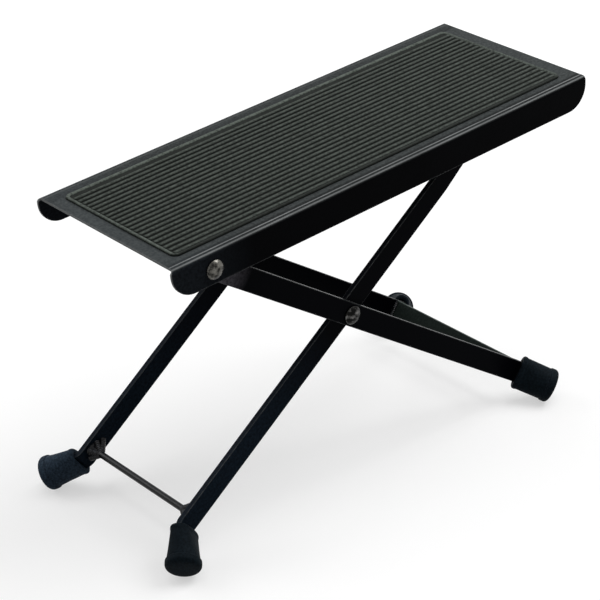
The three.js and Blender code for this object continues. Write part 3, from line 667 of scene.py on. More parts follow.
mat_rubber = rubber_material("ribbed_mat_rubber", MAT_COLOUR, MAT_DUST_SHEEN_COLOUR, dust=0.06, rough=0.62,
                             specular=0.04, bump=0.00006, fleck=0.60, edge_rub=0.0,
                             crest_highlight_colour=MAT_CREST_HIGHLIGHT_COLOUR)
mat_half_length = (PLATE_LENGTH - MAT_LEFT_MARGIN - MAT_MARGIN) / 2
mat_half_width = (PLATE_WIDTH - MAT_REAR_MARGIN - MAT_MARGIN) / 2
mat_matrix = plate_matrix @ Matrix.Translation((
    plate_start + MAT_LEFT_MARGIN + mat_half_length, (MAT_MARGIN - MAT_REAR_MARGIN) / 2,
    PIVOT_DROP + MAT_LIFT))


def mat_ring(inset, height):
    """Points round the mat's outline, in order, drawn in by an inset, at one height."""
    half_length, half_width = mat_half_length - inset, mat_half_width - inset
    radius = MAT_CORNER_RADIUS - inset
    points = []
    for sx, sy, start in ((1, 1, 0), (-1, 1, 90), (-1, -1, 180), (1, -1, 270)):
        for step in range(MAT_CORNER_STEPS + 1):
            angle = math.radians(start + 90 * step / MAT_CORNER_STEPS)
            points.append(Vector((sx * (half_length - radius) + radius * math.cos(angle),
                                  sy * (half_width - radius) + radius * math.sin(angle), height)))
    return points


mat_shape = bmesh.new()
mat_rings = [mat_ring(0, 0)]
rim_top = MAT_BASE + MAT_RIM_RISE
rim_slope = MAT_RIM_WIDTH - MAT_RIM_CREST
rim_angles = [math.pi / 2 * step / RIM_STEPS for step in range(1, RIM_STEPS + 1)]
for angle in rim_angles:
    mat_rings.append(mat_ring(MAT_RIM_CREST * (1 - math.cos(angle)), rim_top * math.sin(angle)))
for angle in rim_angles:
    mat_rings.append(mat_ring(
        MAT_RIM_CREST + rim_slope * math.sin(angle), MAT_BASE + MAT_RIM_RISE * math.cos(angle)))
mat_rings.append(mat_ring(MAT_RIM_WIDTH + MAT_RIM_FOOT, MAT_BASE))
crest_highlight_layer = mat_shape.verts.layers.float.new("crest_highlight")
mat_rows = loft(mat_shape, mat_rings)
# painted highlight along the rim's crest, strongest at the rear, fading down each side
for row_number, row in enumerate(mat_rows[:-1]):
    if row_number < RIM_STEPS:
        climb = (row_number / RIM_STEPS) ** RIM_HIGHLIGHT_CLIMB
    else:
        climb = 1 - RIM_HIGHLIGHT_FALL * ((row_number - RIM_STEPS) / RIM_STEPS) ** 2
    for place, vert in enumerate(row):
        quarter, step = divmod(place, MAT_CORNER_STEPS + 1)
        side_highlight = RIM_CREST_HIGHLIGHT["right" if vert.co.x > 0 else "left"]
        long_highlight = RIM_CREST_HIGHLIGHT["rear" if vert.co.y > 0 else "front"]
        turned = step / MAT_CORNER_STEPS if quarter in (0, 2) else 1 - step / MAT_CORNER_STEPS
        vert[crest_highlight_layer] = climb * (side_highlight + (long_highlight - side_highlight) * turned)
mat_sheet = new_piece("tread_mat_sheet", mesh_from("tread_mat_sheet", mat_shape), mat_matrix)
round_edges(mat_sheet, MAT_EDGE_RADIUS, steps=2, angle=50)
mat_sheet.data.materials.append(mat_rubber)
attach(mat_sheet, "platform")
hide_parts("tread_mat")

DOUBLES_WITHIN = 0.000002


def merge_doubles(piece):
    """Merges the vertices that lie on one another, and points the faces outwards."""
    merged = bmesh.new()
    merged.from_mesh(piece.data)
    bmesh.ops.remove_doubles(merged, verts=merged.verts, dist=DOUBLES_WITHIN)
    bmesh.ops.recalc_face_normals(merged, faces=merged.faces)
    merged.to_mesh(piece.data)
    merged.free()


def grow(piece, tree, values):
    """Runs a geometry node tree on a piece with the named values, and keeps the plain mesh."""
    grow_modifier(piece, tree, values)
    bake_modifiers(piece)
    merge_doubles(piece)
    smooth_faces(piece.data)


def rib_tree():
    """Sweeps a half-round section along the rib's spine, and sets the copies side by side."""
    tree, entry, end = geometry_tree("mat_ribs", {
        "Count": "Int", "Pitch": "Float", "Half Width": "Float", "Rise": "Float", "Arc Points": "Int",
        "Base": "Float", "Crest Highlight": "Float", "Material": "Material"})
    girth = add_node(tree, "GeometryNodeInputNamedAttribute", {"data_type": "FLOAT"}, {"Name": "girth"})
    spine = add_node(tree, "GeometryNodeMeshToCurve", inputs={0: entry["Geometry"]})
    arc = add_node(tree, "GeometryNodeCurveArc", {"mode": "RADIUS"}, {
        "Resolution": entry["Arc Points"], "Radius": 1.0, "Start Angle": math.pi, "Sweep Angle": math.pi,
        "Connect Center": True})
    size = add_node(tree, "ShaderNodeCombineXYZ", inputs={
        "X": entry["Half Width"], "Y": entry["Rise"], "Z": 1.0})
    section = add_node(tree, "GeometryNodeTransform", inputs={
        0: arc.outputs["Curve"], "Scale": size.outputs[0]})
    rib = add_node(tree, "GeometryNodeCurveToMesh", inputs={
        "Curve": spine.outputs[0], "Profile Curve": section.outputs[0], "Scale": girth.outputs[0],
        "Fill Caps": False})
    # painted highlight on each rib, growing towards its crest
    height = split_vector(tree, add_node(tree, "GeometryNodeInputPosition").outputs[0])["Z"]
    climb = math_node(tree, "DIVIDE", math_node(tree, "SUBTRACT", height, entry["Base"]), entry["Rise"])
    highlight = times(tree, math_node(tree, "POWER", climb, RIB_HIGHLIGHT_CLIMB), entry["Crest Highlight"])
    marked = add_node(tree, "GeometryNodeStoreNamedAttribute", {"data_type": "FLOAT", "domain": "POINT"}, {
        "Geometry": rib.outputs[0], "Name": "crest_highlight", "Value": highlight})
    span = times(tree, math_node(tree, "SUBTRACT", entry["Count"], 1.0), entry["Pitch"])
    first = add_node(tree, "ShaderNodeCombineXYZ", inputs={"Y": times(tree, span, -0.5)})
    step_over = add_node(tree, "ShaderNodeCombineXYZ", inputs={"Y": entry["Pitch"]})
    row = add_node(tree, "GeometryNodeMeshLine", inputs={
        "Count": entry["Count"], "Start Location": first.outputs[0], "Offset": step_over.outputs[0]})
    copies = add_node(tree, "GeometryNodeInstanceOnPoints", inputs={
        "Points": row.outputs[0], "Instance": marked.outputs[0]})
    finish_geometry(tree, end, copies.outputs[0], entry["Material"])
    return tree


rib_half = mat_half_length - MAT_RIM_WIDTH + MAT_RIB_END_OVERLAP
rib_radius = MAT_RIB_WIDTH / 2
rib_spine = []
for step in range(RIB_END_STEPS + 1):
    angle = math.pi / 2 * step / RIB_END_STEPS
    inward = rib_radius * (1 - math.cos(angle))
    rib_spine.append((-rib_half + inward, max(math.sin(angle), MAT_RIB_END_GIRTH)))
rib_spine += [(-x, girth) for x, girth in reversed(rib_spine)]
rib_mesh = bpy.data.meshes.new("tread_mat_ribs")
rib_mesh.from_pydata([(x, MAT_RIB_SHIFT, MAT_BASE) for x, girth in rib_spine],
                     [(i, i + 1) for i in range(len(rib_spine) - 1)], [])
girth_values = rib_mesh.attributes.new("girth", "FLOAT", "POINT")
girth_values.data.foreach_set("value", [girth for x, girth in rib_spine])
mat_ribs = new_piece("tread_mat_ribs", rib_mesh)
grow(mat_ribs, rib_tree(), {
    "Count": MAT_RIB_COUNT, "Pitch": MAT_RIB_PITCH,
    "Half Width": rib_radius, "Rise": MAT_RIB_RISE, "Arc Points": RIB_ARC_POINTS, "Base": MAT_BASE,
    "Crest Highlight": RIB_CREST_HIGHLIGHT, "Material": mat_rubber})
mat_ribs.data.transform(mat_matrix)
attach(mat_ribs, "platform")
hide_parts("tread_mat")

# Legs, brace and rack. Flat steel strip with rolled edges, punched, bent outwards at the toes and
# dipped in semi-gloss black enamel; the notched rack is bent sheet in the same finish.
INNER_LEG_LENGTH = 0.1371
STRIP_EDGE_RADIUS = 0.0004
RACK_EDGE_RADIUS = 0.0002
FACET_DOUBLES_WITHIN = 0.000005
FACETS_FLAT_WITHIN = math.radians(1.0)
FRAME_COLOUR = (0.0013, 0.0015, 0.0026, 1)
# the dust colours below also paint the sheen that up-facing faces and top edges catch from above
FRAME_DUST_SHEEN_COLOUR = (0.036, 0.040, 0.050, 1)
LEG_TOP_DUST_SHEEN_COLOUR = (0.075, 0.077, 0.080, 1)
BRACE_DUST_SHEEN_COLOUR = (0.084, 0.112, 0.098, 1)
# a painted reflection, pale, on the outer legs round the flange pivots
PIVOT_REFLECTION_COLOUR = (0.165, 0.155, 0.180, 1)
PIVOT_REFLECTION_REACH = (0.012, 0.030)
# the inner legs turn paler and bluer towards their toes
TOE_PALER_COLOUR = (0.0088, 0.0160, 0.0260, 1)
TOE_PALER_REACH = (0.060, 0.125)
STRIP_FINISH = {"sheen_rough": (0.24, 0.34), "bump": 0.00003, "wear": 0.5}


def smoothed_copy(node_name, name, radius):
    """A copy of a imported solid: doubles merged, coplanar facets joined and edges rounded."""
    shape = bmesh.new()
    shape.from_mesh(frame["nodes"][node_name].data)
    bmesh.ops.remove_doubles(shape, verts=shape.verts, dist=FACET_DOUBLES_WITHIN)
    bmesh.ops.dissolve_limit(shape, angle_limit=FACETS_FLAT_WITHIN, verts=shape.verts, edges=shape.edges)
    piece = new_piece(name, mesh_from(name, shape))
    piece.data.materials.clear()
    round_edges(piece, radius, angle=28)
    return piece


centre_joint = joint_place("leg_fold")
latch_low, latch_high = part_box("latch_rod")
latch_place = (Vector(latch_low) + Vector(latch_high)) / 2
outer_matrix = standing_matrix(flange_joint, (centre_joint - flange_joint).normalized())
inner_matrix = standing_matrix(centre_joint, (centre_joint - latch_place).normalized())
toe_place = inner_matrix @ Vector((INNER_LEG_LENGTH, 0, 0))

outer_enamel = enamel_material(
    "pivot_reflection_leg_enamel", FRAME_COLOUR, LEG_TOP_DUST_SHEEN_COLOUR, dust=0.55, specular=0.010, **STRIP_FINISH,
    paler_patch=((flange_joint.x, 0, flange_joint.z), *PIVOT_REFLECTION_REACH, PIVOT_REFLECTION_COLOUR))
inner_enamel = enamel_material(
    "toe_paler_leg_enamel", FRAME_COLOUR, FRAME_DUST_SHEEN_COLOUR, dust=0.4, specular=0.010, **STRIP_FINISH,
    paler_patch=((toe_place.x, 0, toe_place.z), *TOE_PALER_REACH, TOE_PALER_COLOUR))
brace_enamel = enamel_material(
    "dusty_sheened_brace_enamel", FRAME_COLOUR, BRACE_DUST_SHEEN_COLOUR, dust=0.8, specular=0.015, **STRIP_FINISH)
rack_enamel = enamel_material(
    "glossy_rack_enamel", FRAME_COLOUR, FRAME_DUST_SHEEN_COLOUR, dust=0.4, sheen_rough=(0.20, 0.30),
    specular=0.060, bump=0.00003, wear=0.9)
frame_pieces = [
    ("height_rack", "platform", RACK_EDGE_RADIUS, rack_enamel),
    ("outer_cross_brace", "outer_frame", STRIP_EDGE_RADIUS, brace_enamel),
    ("outer_leg_front", "outer_frame", STRIP_EDGE_RADIUS, outer_enamel),
    ("outer_leg_rear", "outer_frame", STRIP_EDGE_RADIUS, outer_enamel),
    ("inner_leg_front", "inner_frame", STRIP_EDGE_RADIUS, inner_enamel),
    ("inner_leg_rear", "inner_frame", STRIP_EDGE_RADIUS, inner_enamel),
]
for node_name, body, radius, coat in frame_pieces:
    piece = smoothed_copy(node_name, node_name + "_enamelled", radius)
    piece.data.materials.append(coat)
    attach(piece, body)
    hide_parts(node_name)

# Latch rod. A round steel bar across the upper ends of the inner legs, which drops into the notches
# of the rack. It is turned down at both ends, riveted flush into the legs and enamelled like the rack.
INNER_STRIP_FACES = (0.0446, 0.0416)
ARM_LENGTH = 0.110
LATCH_ROD_RADIUS = 0.0025
LATCH_TENON_RADIUS = 0.0018
ROD_CHAMFER = 0.0003
ROD_CHAMFER_MIDDLE = 0.3
TENON_CHAMFER = 0.0002
ROD_END_GAP = 0.0003
LATCH_EDGE_RADIUS = 0.00008
TURNED_POINTS = 64


def turned_piece(name, profile, matrix):
    """A piece turned about its Y from a chain of (radius, y); a radius of 0 closes to a point."""
    shape = bmesh.new()
    angles = [2 * math.pi * i / TURNED_POINTS for i in range(TURNED_POINTS)]
    rows = []
    for radius, y in profile:
        if radius == 0:
            rows.append([shape.verts.new((0, y, 0))])
        else:
            rows.append([shape.verts.new((radius * math.cos(angle), y, radius * math.sin(angle)))
                         for angle in angles])
    for near, far in zip(rows, rows[1:]):
        for i in range(TURNED_POINTS):
            j = (i + 1) % TURNED_POINTS
            ring = [near[i % len(near)], near[j % len(near)], far[j % len(far)], far[i % len(far)]]
            shape.faces.new(list(dict.fromkeys(ring)))
    bmesh.ops.recalc_face_normals(shape, faces=shape.faces)
    mesh = mesh_from(name, shape)
    smooth_faces(mesh)
    return new_piece(name, mesh, matrix)


def mirrored(half):
    """A whole turned profile from the half on the rear side."""
    return half + [(radius, -y) for radius, y in reversed(half)]


strip_outer, strip_inner = INNER_STRIP_FACES
rod_end = strip_inner - ROD_END_GAP
latch_profile = mirrored([
    (0, strip_outer), (LATCH_TENON_RADIUS - TENON_CHAMFER, strip_outer),
    (LATCH_TENON_RADIUS, strip_outer - TENON_CHAMFER), (LATCH_TENON_RADIUS, rod_end),
    (LATCH_ROD_RADIUS - ROD_CHAMFER, rod_end),
    (LATCH_ROD_RADIUS - ROD_CHAMFER * ROD_CHAMFER_MIDDLE, rod_end - ROD_CHAMFER * ROD_CHAMFER_MIDDLE),
    (LATCH_ROD_RADIUS, rod_end - ROD_CHAMFER)])
latch_rod = turned_piece(
    "latch_rod_turned", latch_profile, inner_matrix @ Matrix.Translation((-ARM_LENGTH, 0, 0)))
round_edges(latch_rod, LATCH_EDGE_RADIUS, steps=2, angle=40)
latch_rod.data.materials.append(rack_enamel)
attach(latch_rod, "inner_frame")
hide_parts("latch_rod")

# Lower rod. Thin round bar between the inner legs just above their feet, with a rough cone of weld
# at each end under the enamel.
LOWER_ROD_RADIUS = 0.0018
LOWER_ROD_INSET = 0.0069
WELD_RADIUS = 0.0044
WELD_LENGTH = 0.0045
WELD_FACE_SHARE = 0.7
WELD_HOLLOW = 2.2
WELD_STEPS = 14
rod_enamel = enamel_material(
    "thin_rod_enamel", FRAME_COLOUR, FRAME_DUST_SHEEN_COLOUR, dust=0.25, sheen_rough=(0.16, 0.24),
    specular=0.17, bump=0.00006, wear=0.05, fleck=0.9)
lower_half = [(0, rod_end), (WELD_RADIUS * WELD_FACE_SHARE, rod_end)]
for step in range(WELD_STEPS + 1):
    share = step / WELD_STEPS
    lower_half.append((LOWER_ROD_RADIUS + (WELD_RADIUS - LOWER_ROD_RADIUS) * (1 - share) ** WELD_HOLLOW,
                       rod_end - WELD_LENGTH * share))
rod_reach = INNER_LEG_LENGTH - LOWER_ROD_INSET
lower_rod = turned_piece(
    "lower_rod_bar", mirrored(lower_half), inner_matrix @ Matrix.Translation((rod_reach, 0, 0)))
lower_rod.data.materials.append(rod_enamel)
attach(lower_rod, "inner_frame")
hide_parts("lower_cross_rod")

# Rivets. Domed heads outside, flat set tails inside: nickel plate at the flanges, dark nickel where
# the legs cross. They turn in the legs with a little play.
FLANGE_OUTER = PLATE_WIDTH / 2
OUTER_STRIP_FACES = (0.0492, 0.0462)
SHANK_RADIUS = 0.0025
RIVET_HEAD_RADIUS = 0.0051
RIVET_HEAD_RISE = 0.0026
RIVET_EDGE = 0.0003
RIVET_RIM_SHARE = 0.4
RIVET_GAP = 0.0003
RIVET_TAIL_RADIUS = 0.004
RIVET_TAIL_RISE = 0.001
TAIL_CHAMFER = 0.0001
# the dimple left by the setting tool, as shares of the tail's radius and of its rise
TAIL_DIMPLE = [(0.55, 1.0), (0.4, 0.8), (0, 0.7)]
RIVET_ROUNDING = 0.00006
DOME_STEPS = 16
NICKEL_COLOUR = (0.155, 0.150, 0.135, 1)
DARK_NICKEL_COLOUR = (0.110, 0.108, 0.105, 1)
PLATED_EDGE = {"Width": 0.0004, "Breakup": 0.4}
PLATED_EDGE_RUB = 0.5
PLATED_POLISH = 1.7
BLOOM_SCALE = 310.0
BLOOM_ROUGHER = 0.12
BLOOM_SMOOTHER = 0.06
SCRATCH_SCALE = 3200.0
SCRATCH_DEPTH = 0.00001
# each pair is made as it lies on the rear side, and turned half round for the front
SIDE_TURNS = {"front": Matrix.Rotation(math.pi, 4, "X"), "rear": Matrix.Identity(4)}


def plated_material(name, colour, rough, tarnish, bright=(0.42, 0.58)):
    """Plated steel: a polished metal with fine turning marks and a darker, duller bloom.

    tarnish is the share of the colour that the bloom leaves, and bright is the part of the bloom's
    noise over which the plate clears.
    """
    material = bpy.data.materials.new(name)
    tree = emptied_tree(material)
    place = own_place(tree)
    clear = map_range(tree, object_noise(tree, place, BLOOM_SCALE, 5.0, 0.6), *bright)
    scratches = object_noise(tree, place, SCRATCH_SCALE, 3.0, 0.7)
    edges = group_node(tree, edge_wear, PLATED_EDGE)["Mask"]
    metal = mix_colour(tree, clear, toned(colour, tarnish), colour)
    brightened = mix_colour(tree, times(tree, edges, PLATED_EDGE_RUB), metal, toned(colour, PLATED_POLISH))
    finish_surface(tree, scratches, SCRATCH_DEPTH, {
        "Base Color": brightened, "Metallic": 1.0,
        "Roughness": map_range(tree, clear, 0.0, 1.0, rough + BLOOM_ROUGHER, rough - BLOOM_SMOOTHER)})
    return material


nickel = plated_material("nickel_plate", NICKEL_COLOUR, rough=0.22, tarnish=0.10, bright=(0.38, 0.64))
dark_nickel = plated_material(
    "dark_nickel_plate", DARK_NICKEL_COLOUR, rough=0.18, tarnish=0.06, bright=(0.47, 0.62))


def rivet_profile(outer, inner):
    """From the crown of the head, over its rim, down the shank and round the tail."""
    seat, tail = outer + RIVET_GAP, inner - RIVET_GAP
    rise = RIVET_HEAD_RISE - RIVET_EDGE
    rim = RIVET_EDGE * RIVET_RIM_SHARE
    tail_end = tail - RIVET_TAIL_RISE
    sphere = (RIVET_HEAD_RADIUS ** 2 + rise ** 2) / (2 * rise)
    half = math.asin(RIVET_HEAD_RADIUS / sphere)
    crown = [(0, seat + RIVET_HEAD_RISE)]
    for step in range(1, DOME_STEPS + 1):
        angle = half * step / DOME_STEPS
        crown.append((sphere * math.sin(angle), seat + RIVET_HEAD_RISE - sphere * (1 - math.cos(angle))))
    return crown + [
        (RIVET_HEAD_RADIUS, seat + rim), (RIVET_HEAD_RADIUS - rim, seat),
        (SHANK_RADIUS, seat), (SHANK_RADIUS, tail), (RIVET_TAIL_RADIUS - TAIL_CHAMFER, tail),
        (RIVET_TAIL_RADIUS, tail - TAIL_CHAMFER), (RIVET_TAIL_RADIUS, tail_end + RIVET_EDGE),
        (RIVET_TAIL_RADIUS - RIVET_EDGE, tail_end),
    ] + [(RIVET_TAIL_RADIUS * out, tail - RIVET_TAIL_RISE * down) for out, down in TAIL_DIMPLE]


rivet_kinds = [
    ("flange_rivet", FLANGE_OUTER, OUTER_STRIP_FACES[1], 0, nickel, "platform", "rivet_nickel"),
    ("centre_rivet", OUTER_STRIP_FACES[0], strip_inner, ARM_LENGTH, dark_nickel, "outer_frame", "rivet_dark"),
]
for kind, outer, inner, reach, plating, body, slot in rivet_kinds:
    for side, turn in SIDE_TURNS.items():
        node_name = kind + "_" + side
        rivet_piece = turned_piece(node_name + "_set", rivet_profile(outer, inner),
                                   outer_matrix @ turn @ Matrix.Translation((reach, 0, 0)))
        round_edges(rivet_piece, RIVET_ROUNDING, steps=2, angle=42)
        rivet_piece.data.materials.append(plating)
        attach(rivet_piece, body)
        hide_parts(node_name)

# Spacers and washers. Moulded nylon spacers hold the outer legs off the flanges, and zinc-plated
# steel washers part the legs where they cross. Both are threaded on the rivets' shanks.
SPACER_FACES = (0.0535, 0.0495)
SPACER_RADIUS = 0.0055
WASHER_FACES = (0.0459, 0.0449)
WASHER_RADIUS = 0.0058
RING_BORE = 0.0028
RING_EDGE_RADIUS = 0.0002
NYLON_COLOUR = (0.0075, 0.0078, 0.0085, 1)
# the dust colour also paints the sheen that up-facing faces catch from above
NYLON_DUST_SHEEN_COLOUR = (0.04, 0.04, 0.042, 1)
ZINC_COLOUR = (0.42, 0.42, 0.41, 1)
black_nylon = rubber_material("black_nylon", NYLON_COLOUR, NYLON_DUST_SHEEN_COLOUR, dust=0.2,
                              rough=0.42, specular=0.25, bump=0.00001)
zinc_plate = plated_material("zinc_plate", ZINC_COLOUR, rough=0.38, tarnish=0.7)
ring_kinds = [
    ("flange_spacer", SPACER_FACES, SPACER_RADIUS, 0, black_nylon, "platform", "spacer_nylon"),
    ("pivot_washer", WASHER_FACES, WASHER_RADIUS, ARM_LENGTH, zinc_plate, "outer_frame", "washer_steel"),
]
for kind, (outer, inner), radius, reach, look, body, slot in ring_kinds:
    for side, turn in SIDE_TURNS.items():
        node_name = kind + "_" + side
        profile = [(RING_BORE, inner), (radius, inner), (radius, outer), (RING_BORE, outer),
                   (RING_BORE, inner)]
        ring_piece = turned_piece(node_name + "_ring", profile,
                                  outer_matrix @ turn @ Matrix.Translation((reach, 0, 0)))
        merge_doubles(ring_piece)
        round_edges(ring_piece, RING_EDGE_RADIUS, angle=40)
        ring_piece.data.materials.append(look)
        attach(ring_piece, body)
        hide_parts(node_name)

# Rubber feet. Moulded caps pushed on the toes: a lipped flat-oval mouth round the strip, a body that
# flares to a round, slightly bulging sole, and the mould's parting ring above the sole.
TOE_ANGLE = math.radians(42.3)
OUTER_LEG_BEND = 0.2562
FOOT_START = 0.0023
FOOT_LENGTH = 0.0224
FOOT_MOUTH = (0.0193, 0.0103)
FOOT_SOLE = (0.0184, 0.0176)
FOOT_SOLE_LIP = 0.0005
FOOT_POCKET = (0.0128, 0.0036)
# depth into the foot, how far out from the pocket's sides, squareness there
FOOT_POCKET_RINGS = [(0.0148, 0, 8.0), (0.0009, 0, 8.0), (0.0003, 0.0002, 7.0), (0, 0.0009, 5.0)]
FOOT_SQUARENESS = (2.5, 2.0)
FOOT_ROUNDING = 1.4
FOOT_POINTS = 56
FOOT_SUBSTEPS = 4
FOOT_FINISH = {"rough": 0.6, "specular": 0.03, "bump": 0.00009, "fleck": 0.7, "edge_rub": 0.4, "grain": 0.6}
FOOT_COLOUR = (0.0044, 0.0078, 0.0108, 1)
# a paler copy of the foot rubber for the rear inner foot: painted light, as if it stood in brighter light
LIT_FOOT_COLOUR = (0.0270, 0.0420, 0.0620, 1)
# the dust colour also paints the sheen that up-facing faces catch from above
FOOT_DUST_SHEEN_COLOUR = (0.036, 0.047, 0.062, 1)
# share of the length, share of the way from mouth to sole size, size there, sole lip there
FOOT_RINGS = [
    (0.000, 0.00, 0.900, 0), (0.012, 0.00, 0.955, 0), (0.035, 0.00, 1.000, 0), (0.070, 0.01, 1.012, 0),
    (0.105, 0.03, 0.998, 0), (0.135, 0.06, 0.978, 0), (0.300, 0.28, 0.982, 0), (0.500, 0.56, 0.988, 0),
    (0.700, 0.84, 0.996, 0), (0.745, 0.90, 0.992, 0), (0.762, 0.93, 0.975, 0), (0.780, 0.97, 0.990, 1),
    (0.800, 1.00, 1.000, 1), (0.860, 1.00, 1.004, 1), (0.910, 1.00, 0.990, 1), (0.955, 1.00, 0.915, 1),
    (0.982, 1.00, 0.780, 1), (0.996, 1.00, 0.560, 1), (1.000, 1.00, 0.300, 1),
]


def oval_ring(x, half_y, half_z, squareness):
    """A ring across X: an ellipse at squareness 2, nearing a rectangle as it grows."""
    points = []
    for i in range(FOOT_POINTS):
        angle = 2 * math.pi * i / FOOT_POINTS
        c, s = math.cos(angle), math.sin(angle)
        points.append(Vector((x, half_y * math.copysign(abs(c) ** (2 / squareness), c),
                              half_z * math.copysign(abs(s) ** (2 / squareness), s))))
    return points


def smooth_between(rows, substeps):
    """Rows of numbers with smoothly curved rows put in between."""
    filled = []
    for i in range(len(rows) - 1):
        neighbours = (rows[max(i - 1, 0)], rows[i], rows[i + 1], rows[min(i + 2, len(rows) - 1)])
        for step in range(substeps):
            t = step / substeps
            filled.append([
                0.5 * (2 * b + (c - a) * t + (2 * a - 5 * b + 4 * c - d) * t * t
                       + (3 * b - a - 3 * c + d) * t ** 3)
                for a, b, c, d in zip(*neighbours)])
    filled.append(list(rows[-1]))
    return filled


def foot_mesh(name):
    """A cap from the bottom of its pocket out to the mouth, down its side and across its sole."""
    mouth_squareness, sole_squareness = FOOT_SQUARENESS
    rows = []
    for along, flare, size, lip in FOOT_RINGS:
        half_y = (FOOT_MOUTH[1] + (FOOT_SOLE[1] - FOOT_MOUTH[1]) * flare) / 2 + FOOT_SOLE_LIP * lip
        half_z = (FOOT_MOUTH[0] + (FOOT_SOLE[0] - FOOT_MOUTH[0]) * flare) / 2 + FOOT_SOLE_LIP * lip
        squareness = (mouth_squareness
                      + (sole_squareness - mouth_squareness) * min(flare * FOOT_ROUNDING, 1))
        rows.append((FOOT_LENGTH * along, half_y * size, half_z * size, squareness))
    rings = [oval_ring(depth, FOOT_POCKET[1] / 2 + wider, FOOT_POCKET[0] / 2 + wider, squareness)
             for depth, wider, squareness in FOOT_POCKET_RINGS]
    rings += [oval_ring(*row) for row in smooth_between(rows, FOOT_SUBSTEPS)]
    shape = bmesh.new()
    loft(shape, rings)
    bmesh.ops.recalc_face_normals(shape, faces=shape.faces)
    mesh = mesh_from(name, shape)
    smooth_faces(mesh)
    return mesh


foot_rubber = rubber_material("foot_rubber", FOOT_COLOUR, FOOT_DUST_SHEEN_COLOUR, dust=0.04, **FOOT_FINISH)
lit_foot_rubber = rubber_material(
    "paler_lit_foot_rubber", LIT_FOOT_COLOUR, FOOT_DUST_SHEEN_COLOUR, dust=0.07, **FOOT_FINISH)
foot_kinds = [
    ("outer_foot", outer_matrix, OUTER_LEG_BEND, sum(OUTER_STRIP_FACES) / 2, "outer_frame"),
    ("inner_foot", inner_matrix, INNER_LEG_LENGTH, sum(INNER_STRIP_FACES) / 2, "inner_frame"),
]
for kind, leg_matrix, bend, middle, body in foot_kinds:
    for side, turn in SIDE_TURNS.items():
        node_name = kind + "_" + side
        toe = Matrix.Translation((bend, middle, 0)) @ Matrix.Rotation(TOE_ANGLE, 4, "Z")
        foot = new_piece(node_name + "_cap", foot_mesh(node_name + "_cap"),
                         leg_matrix @ turn @ toe @ Matrix.Translation((FOOT_START, 0, 0)))
        # the rear inner foot takes the paler, painted-light copy
        foot.data.materials.append(lit_foot_rubber if node_name == "inner_foot_rear" else foot_rubber)
        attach(foot, body)
        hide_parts(node_name)

# Welds. Rippled beads under the enamel: round the ends of the lower rod, down both sides of the
# brace where it meets the legs, and in short runs along the rack where it is fixed to the footplate.
BEAD_RADIUS = 0.0012
BEAD_RIPPLE = 0.0011
BEAD_RIPPLE_DEPTH = 0.16
BEAD_RIPPLE_STEPS = 6.0
BEAD_POINTS = 14
BEAD_ROUGHNESS = 0.00016
BEAD_LUMP_SCALE = 900.0
BRACE_INSET = 0.005
BRACE_THICKNESS = 0.003
BRACE_WIDTH = 0.0122
BRACE_BEAD_SHARE = 0.42
BRACE_BEAD_GAP = 0.0006
RACK_START = 0.1572
RACK_STOP = 0.2142
RACK_HALF_WIDTH = 0.015
RACK_BEAD_LENGTH = 0.011
RACK_BEAD_INSET = 0.004
RACK_BEAD_OUT = 0.0002
RACK_BEAD_DROP = 0.0007
ROD_WELD_RADIUS = 0.0014
ROD_WELD_ROUGHNESS = 0.0006
ROD_WELD_CLIMB = 0.0060
ROD_WELD_GAP = 0.0002
ROD_WELD_START = 0.12
# where each run of the fan ends on the leg, from the rod's end
ROD_WELD_FAN = [
    (-0.0074, 0.0002), (-0.0050, 0.0028), (-0.0042, -0.0026), (0.0006, 0.0036), (0.0024, -0.0032),
    (0.0050, 0.0010)]
# the share of its run that each layer of beads covers, and how far its end stands off the leg
ROD_WELD_LAYERS = [(0.55, 0.0018), (1.0, 0.0)]
# the dust colour also paints the sheen that up-facing faces catch from above
WELD_DUST_SHEEN_COLOUR = (0.082, 0.088, 0.102, 1)


def bead_tree():
    """Sweeps a round bead along a line, swelling once a ripple, with a lumpy skin."""
    tree, entry, end = geometry_tree("weld_bead", {
        "Radius": "Float", "Ripple": "Float", "Depth": "Float", "Points": "Int", "Roughness": "Float",
        "Seed": "Float", "Material": "Material"})
    line = add_node(tree, "GeometryNodeMeshToCurve", inputs={0: entry["Geometry"]})
    spine = add_node(tree, "GeometryNodeResampleCurve", {"mode": "LENGTH"}, {
        "Curve": line.outputs[0],
        "Length": math_node(tree, "DIVIDE", entry["Ripple"], BEAD_RIPPLE_STEPS)})
    along = add_node(tree, "GeometryNodeSplineParameter").outputs["Length"]
    phase = times(tree, math_node(tree, "DIVIDE", along, entry["Ripple"]), 2 * math.pi)
    swell = times(tree, math_node(tree, "SINE", phase), entry["Depth"])
    section = add_node(tree, "GeometryNodeCurvePrimitiveCircle", {"mode": "RADIUS"}, {
        "Resolution": entry["Points"], "Radius": entry["Radius"]})
    bead = add_node(tree, "GeometryNodeCurveToMesh", inputs={
        "Curve": spine.outputs[0], "Profile Curve": section.outputs[0],
        "Scale": math_node(tree, "ADD", swell, 1.0), "Fill Caps": True})
    lumps = add_node(tree, "ShaderNodeTexNoise", {"noise_dimensions": "4D"}, {
        "W": entry["Seed"], "Scale": BEAD_LUMP_SCALE, "Detail": 2.0}).outputs["Fac"]
    rise = times(tree, math_node(tree, "SUBTRACT", lumps, 0.5), entry["Roughness"])
    offset = add_node(tree, "ShaderNodeVectorMath", {"operation": "SCALE"}, {
        0: add_node(tree, "GeometryNodeInputNormal").outputs[0], "Scale": rise})
    lumpy = add_node(tree, "GeometryNodeSetPosition", inputs={
        "Geometry": bead.outputs[0], "Offset": offset.outputs[0]})
    finish_geometry(tree, end, lumpy.outputs[0], entry["Material"])
    return tree


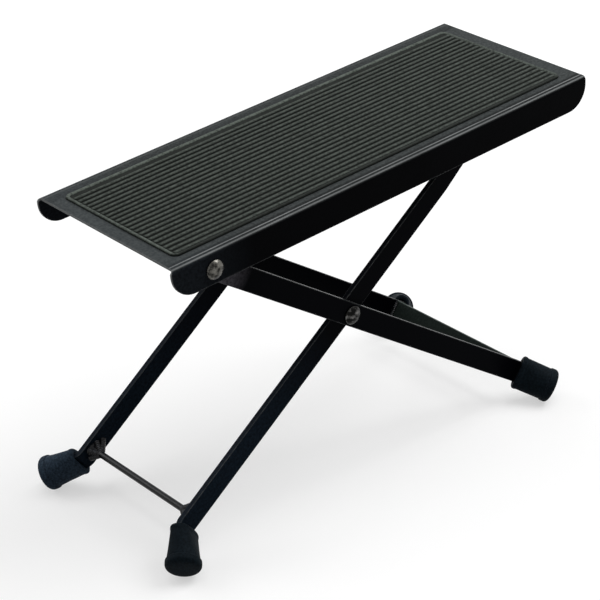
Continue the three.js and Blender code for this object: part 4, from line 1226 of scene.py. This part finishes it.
weld_bead = bead_tree()
weld_enamel = enamel_material(
    "lumpy_weld_enamel", FRAME_COLOUR, WELD_DUST_SHEEN_COLOUR, dust=0.5, sheen_rough=(0.14, 0.24),
    specular=0.20, bump=0.00012, wear=0.08, fleck=0.9)
rod_level = strip_inner - ROD_WELD_GAP
rod_welds = [
    ((rod_reach + along * ROD_WELD_START, side * (rod_level - ROD_WELD_CLIMB), across * ROD_WELD_START),
     (rod_reach + along * spread, side * (rod_level - standoff), across * spread))
    for side in (-1, 1) for along, across in ROD_WELD_FAN for spread, standoff in ROD_WELD_LAYERS]
brace_reach = OUTER_LEG_BEND - BRACE_INSET
brace_level = OUTER_STRIP_FACES[1] - BRACE_BEAD_GAP
brace_welds = [
    [(brace_reach + face * BRACE_THICKNESS / 2, side * brace_level, end * BRACE_WIDTH * BRACE_BEAD_SHARE)
     for end in (-1, 1)]
    for side in (-1, 1) for face in (-1, 1)]
rack_level = PIVOT_DROP - PLATE_SHEET - RACK_BEAD_DROP
rack_edge = RACK_HALF_WIDTH + RACK_BEAD_OUT
rack_welds = [
    ((place, side * rack_edge, rack_level), (place + RACK_BEAD_LENGTH, side * rack_edge, rack_level))
    for side in (-1, 1)
    for place in (RACK_START + RACK_BEAD_INSET, RACK_STOP - RACK_BEAD_INSET - RACK_BEAD_LENGTH)]
weld_kinds = [
    ("lower_rod_welds", rod_welds, ROD_WELD_RADIUS, ROD_WELD_ROUGHNESS, inner_matrix, "inner_frame"),
    ("brace_welds", brace_welds, BEAD_RADIUS, BEAD_ROUGHNESS, outer_matrix, "outer_frame"),
    ("rack_welds", rack_welds, BEAD_RADIUS, BEAD_ROUGHNESS, plate_matrix, "platform"),
]
for seed, (name, lines, radius, roughness, matrix, body) in enumerate(weld_kinds):
    points = [point for line in lines for point in line]
    spine_mesh = bpy.data.meshes.new(name)
    spine_mesh.from_pydata(points, [(i, i + 1) for i in range(0, len(points), 2)], [])
    welds = new_piece(name, spine_mesh)
    grow(welds, weld_bead, {
        "Radius": radius, "Ripple": BEAD_RIPPLE, "Depth": BEAD_RIPPLE_DEPTH, "Points": BEAD_POINTS,
        "Roughness": roughness, "Seed": float(seed), "Material": weld_enamel})
    welds.data.transform(matrix)
    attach(welds, body)
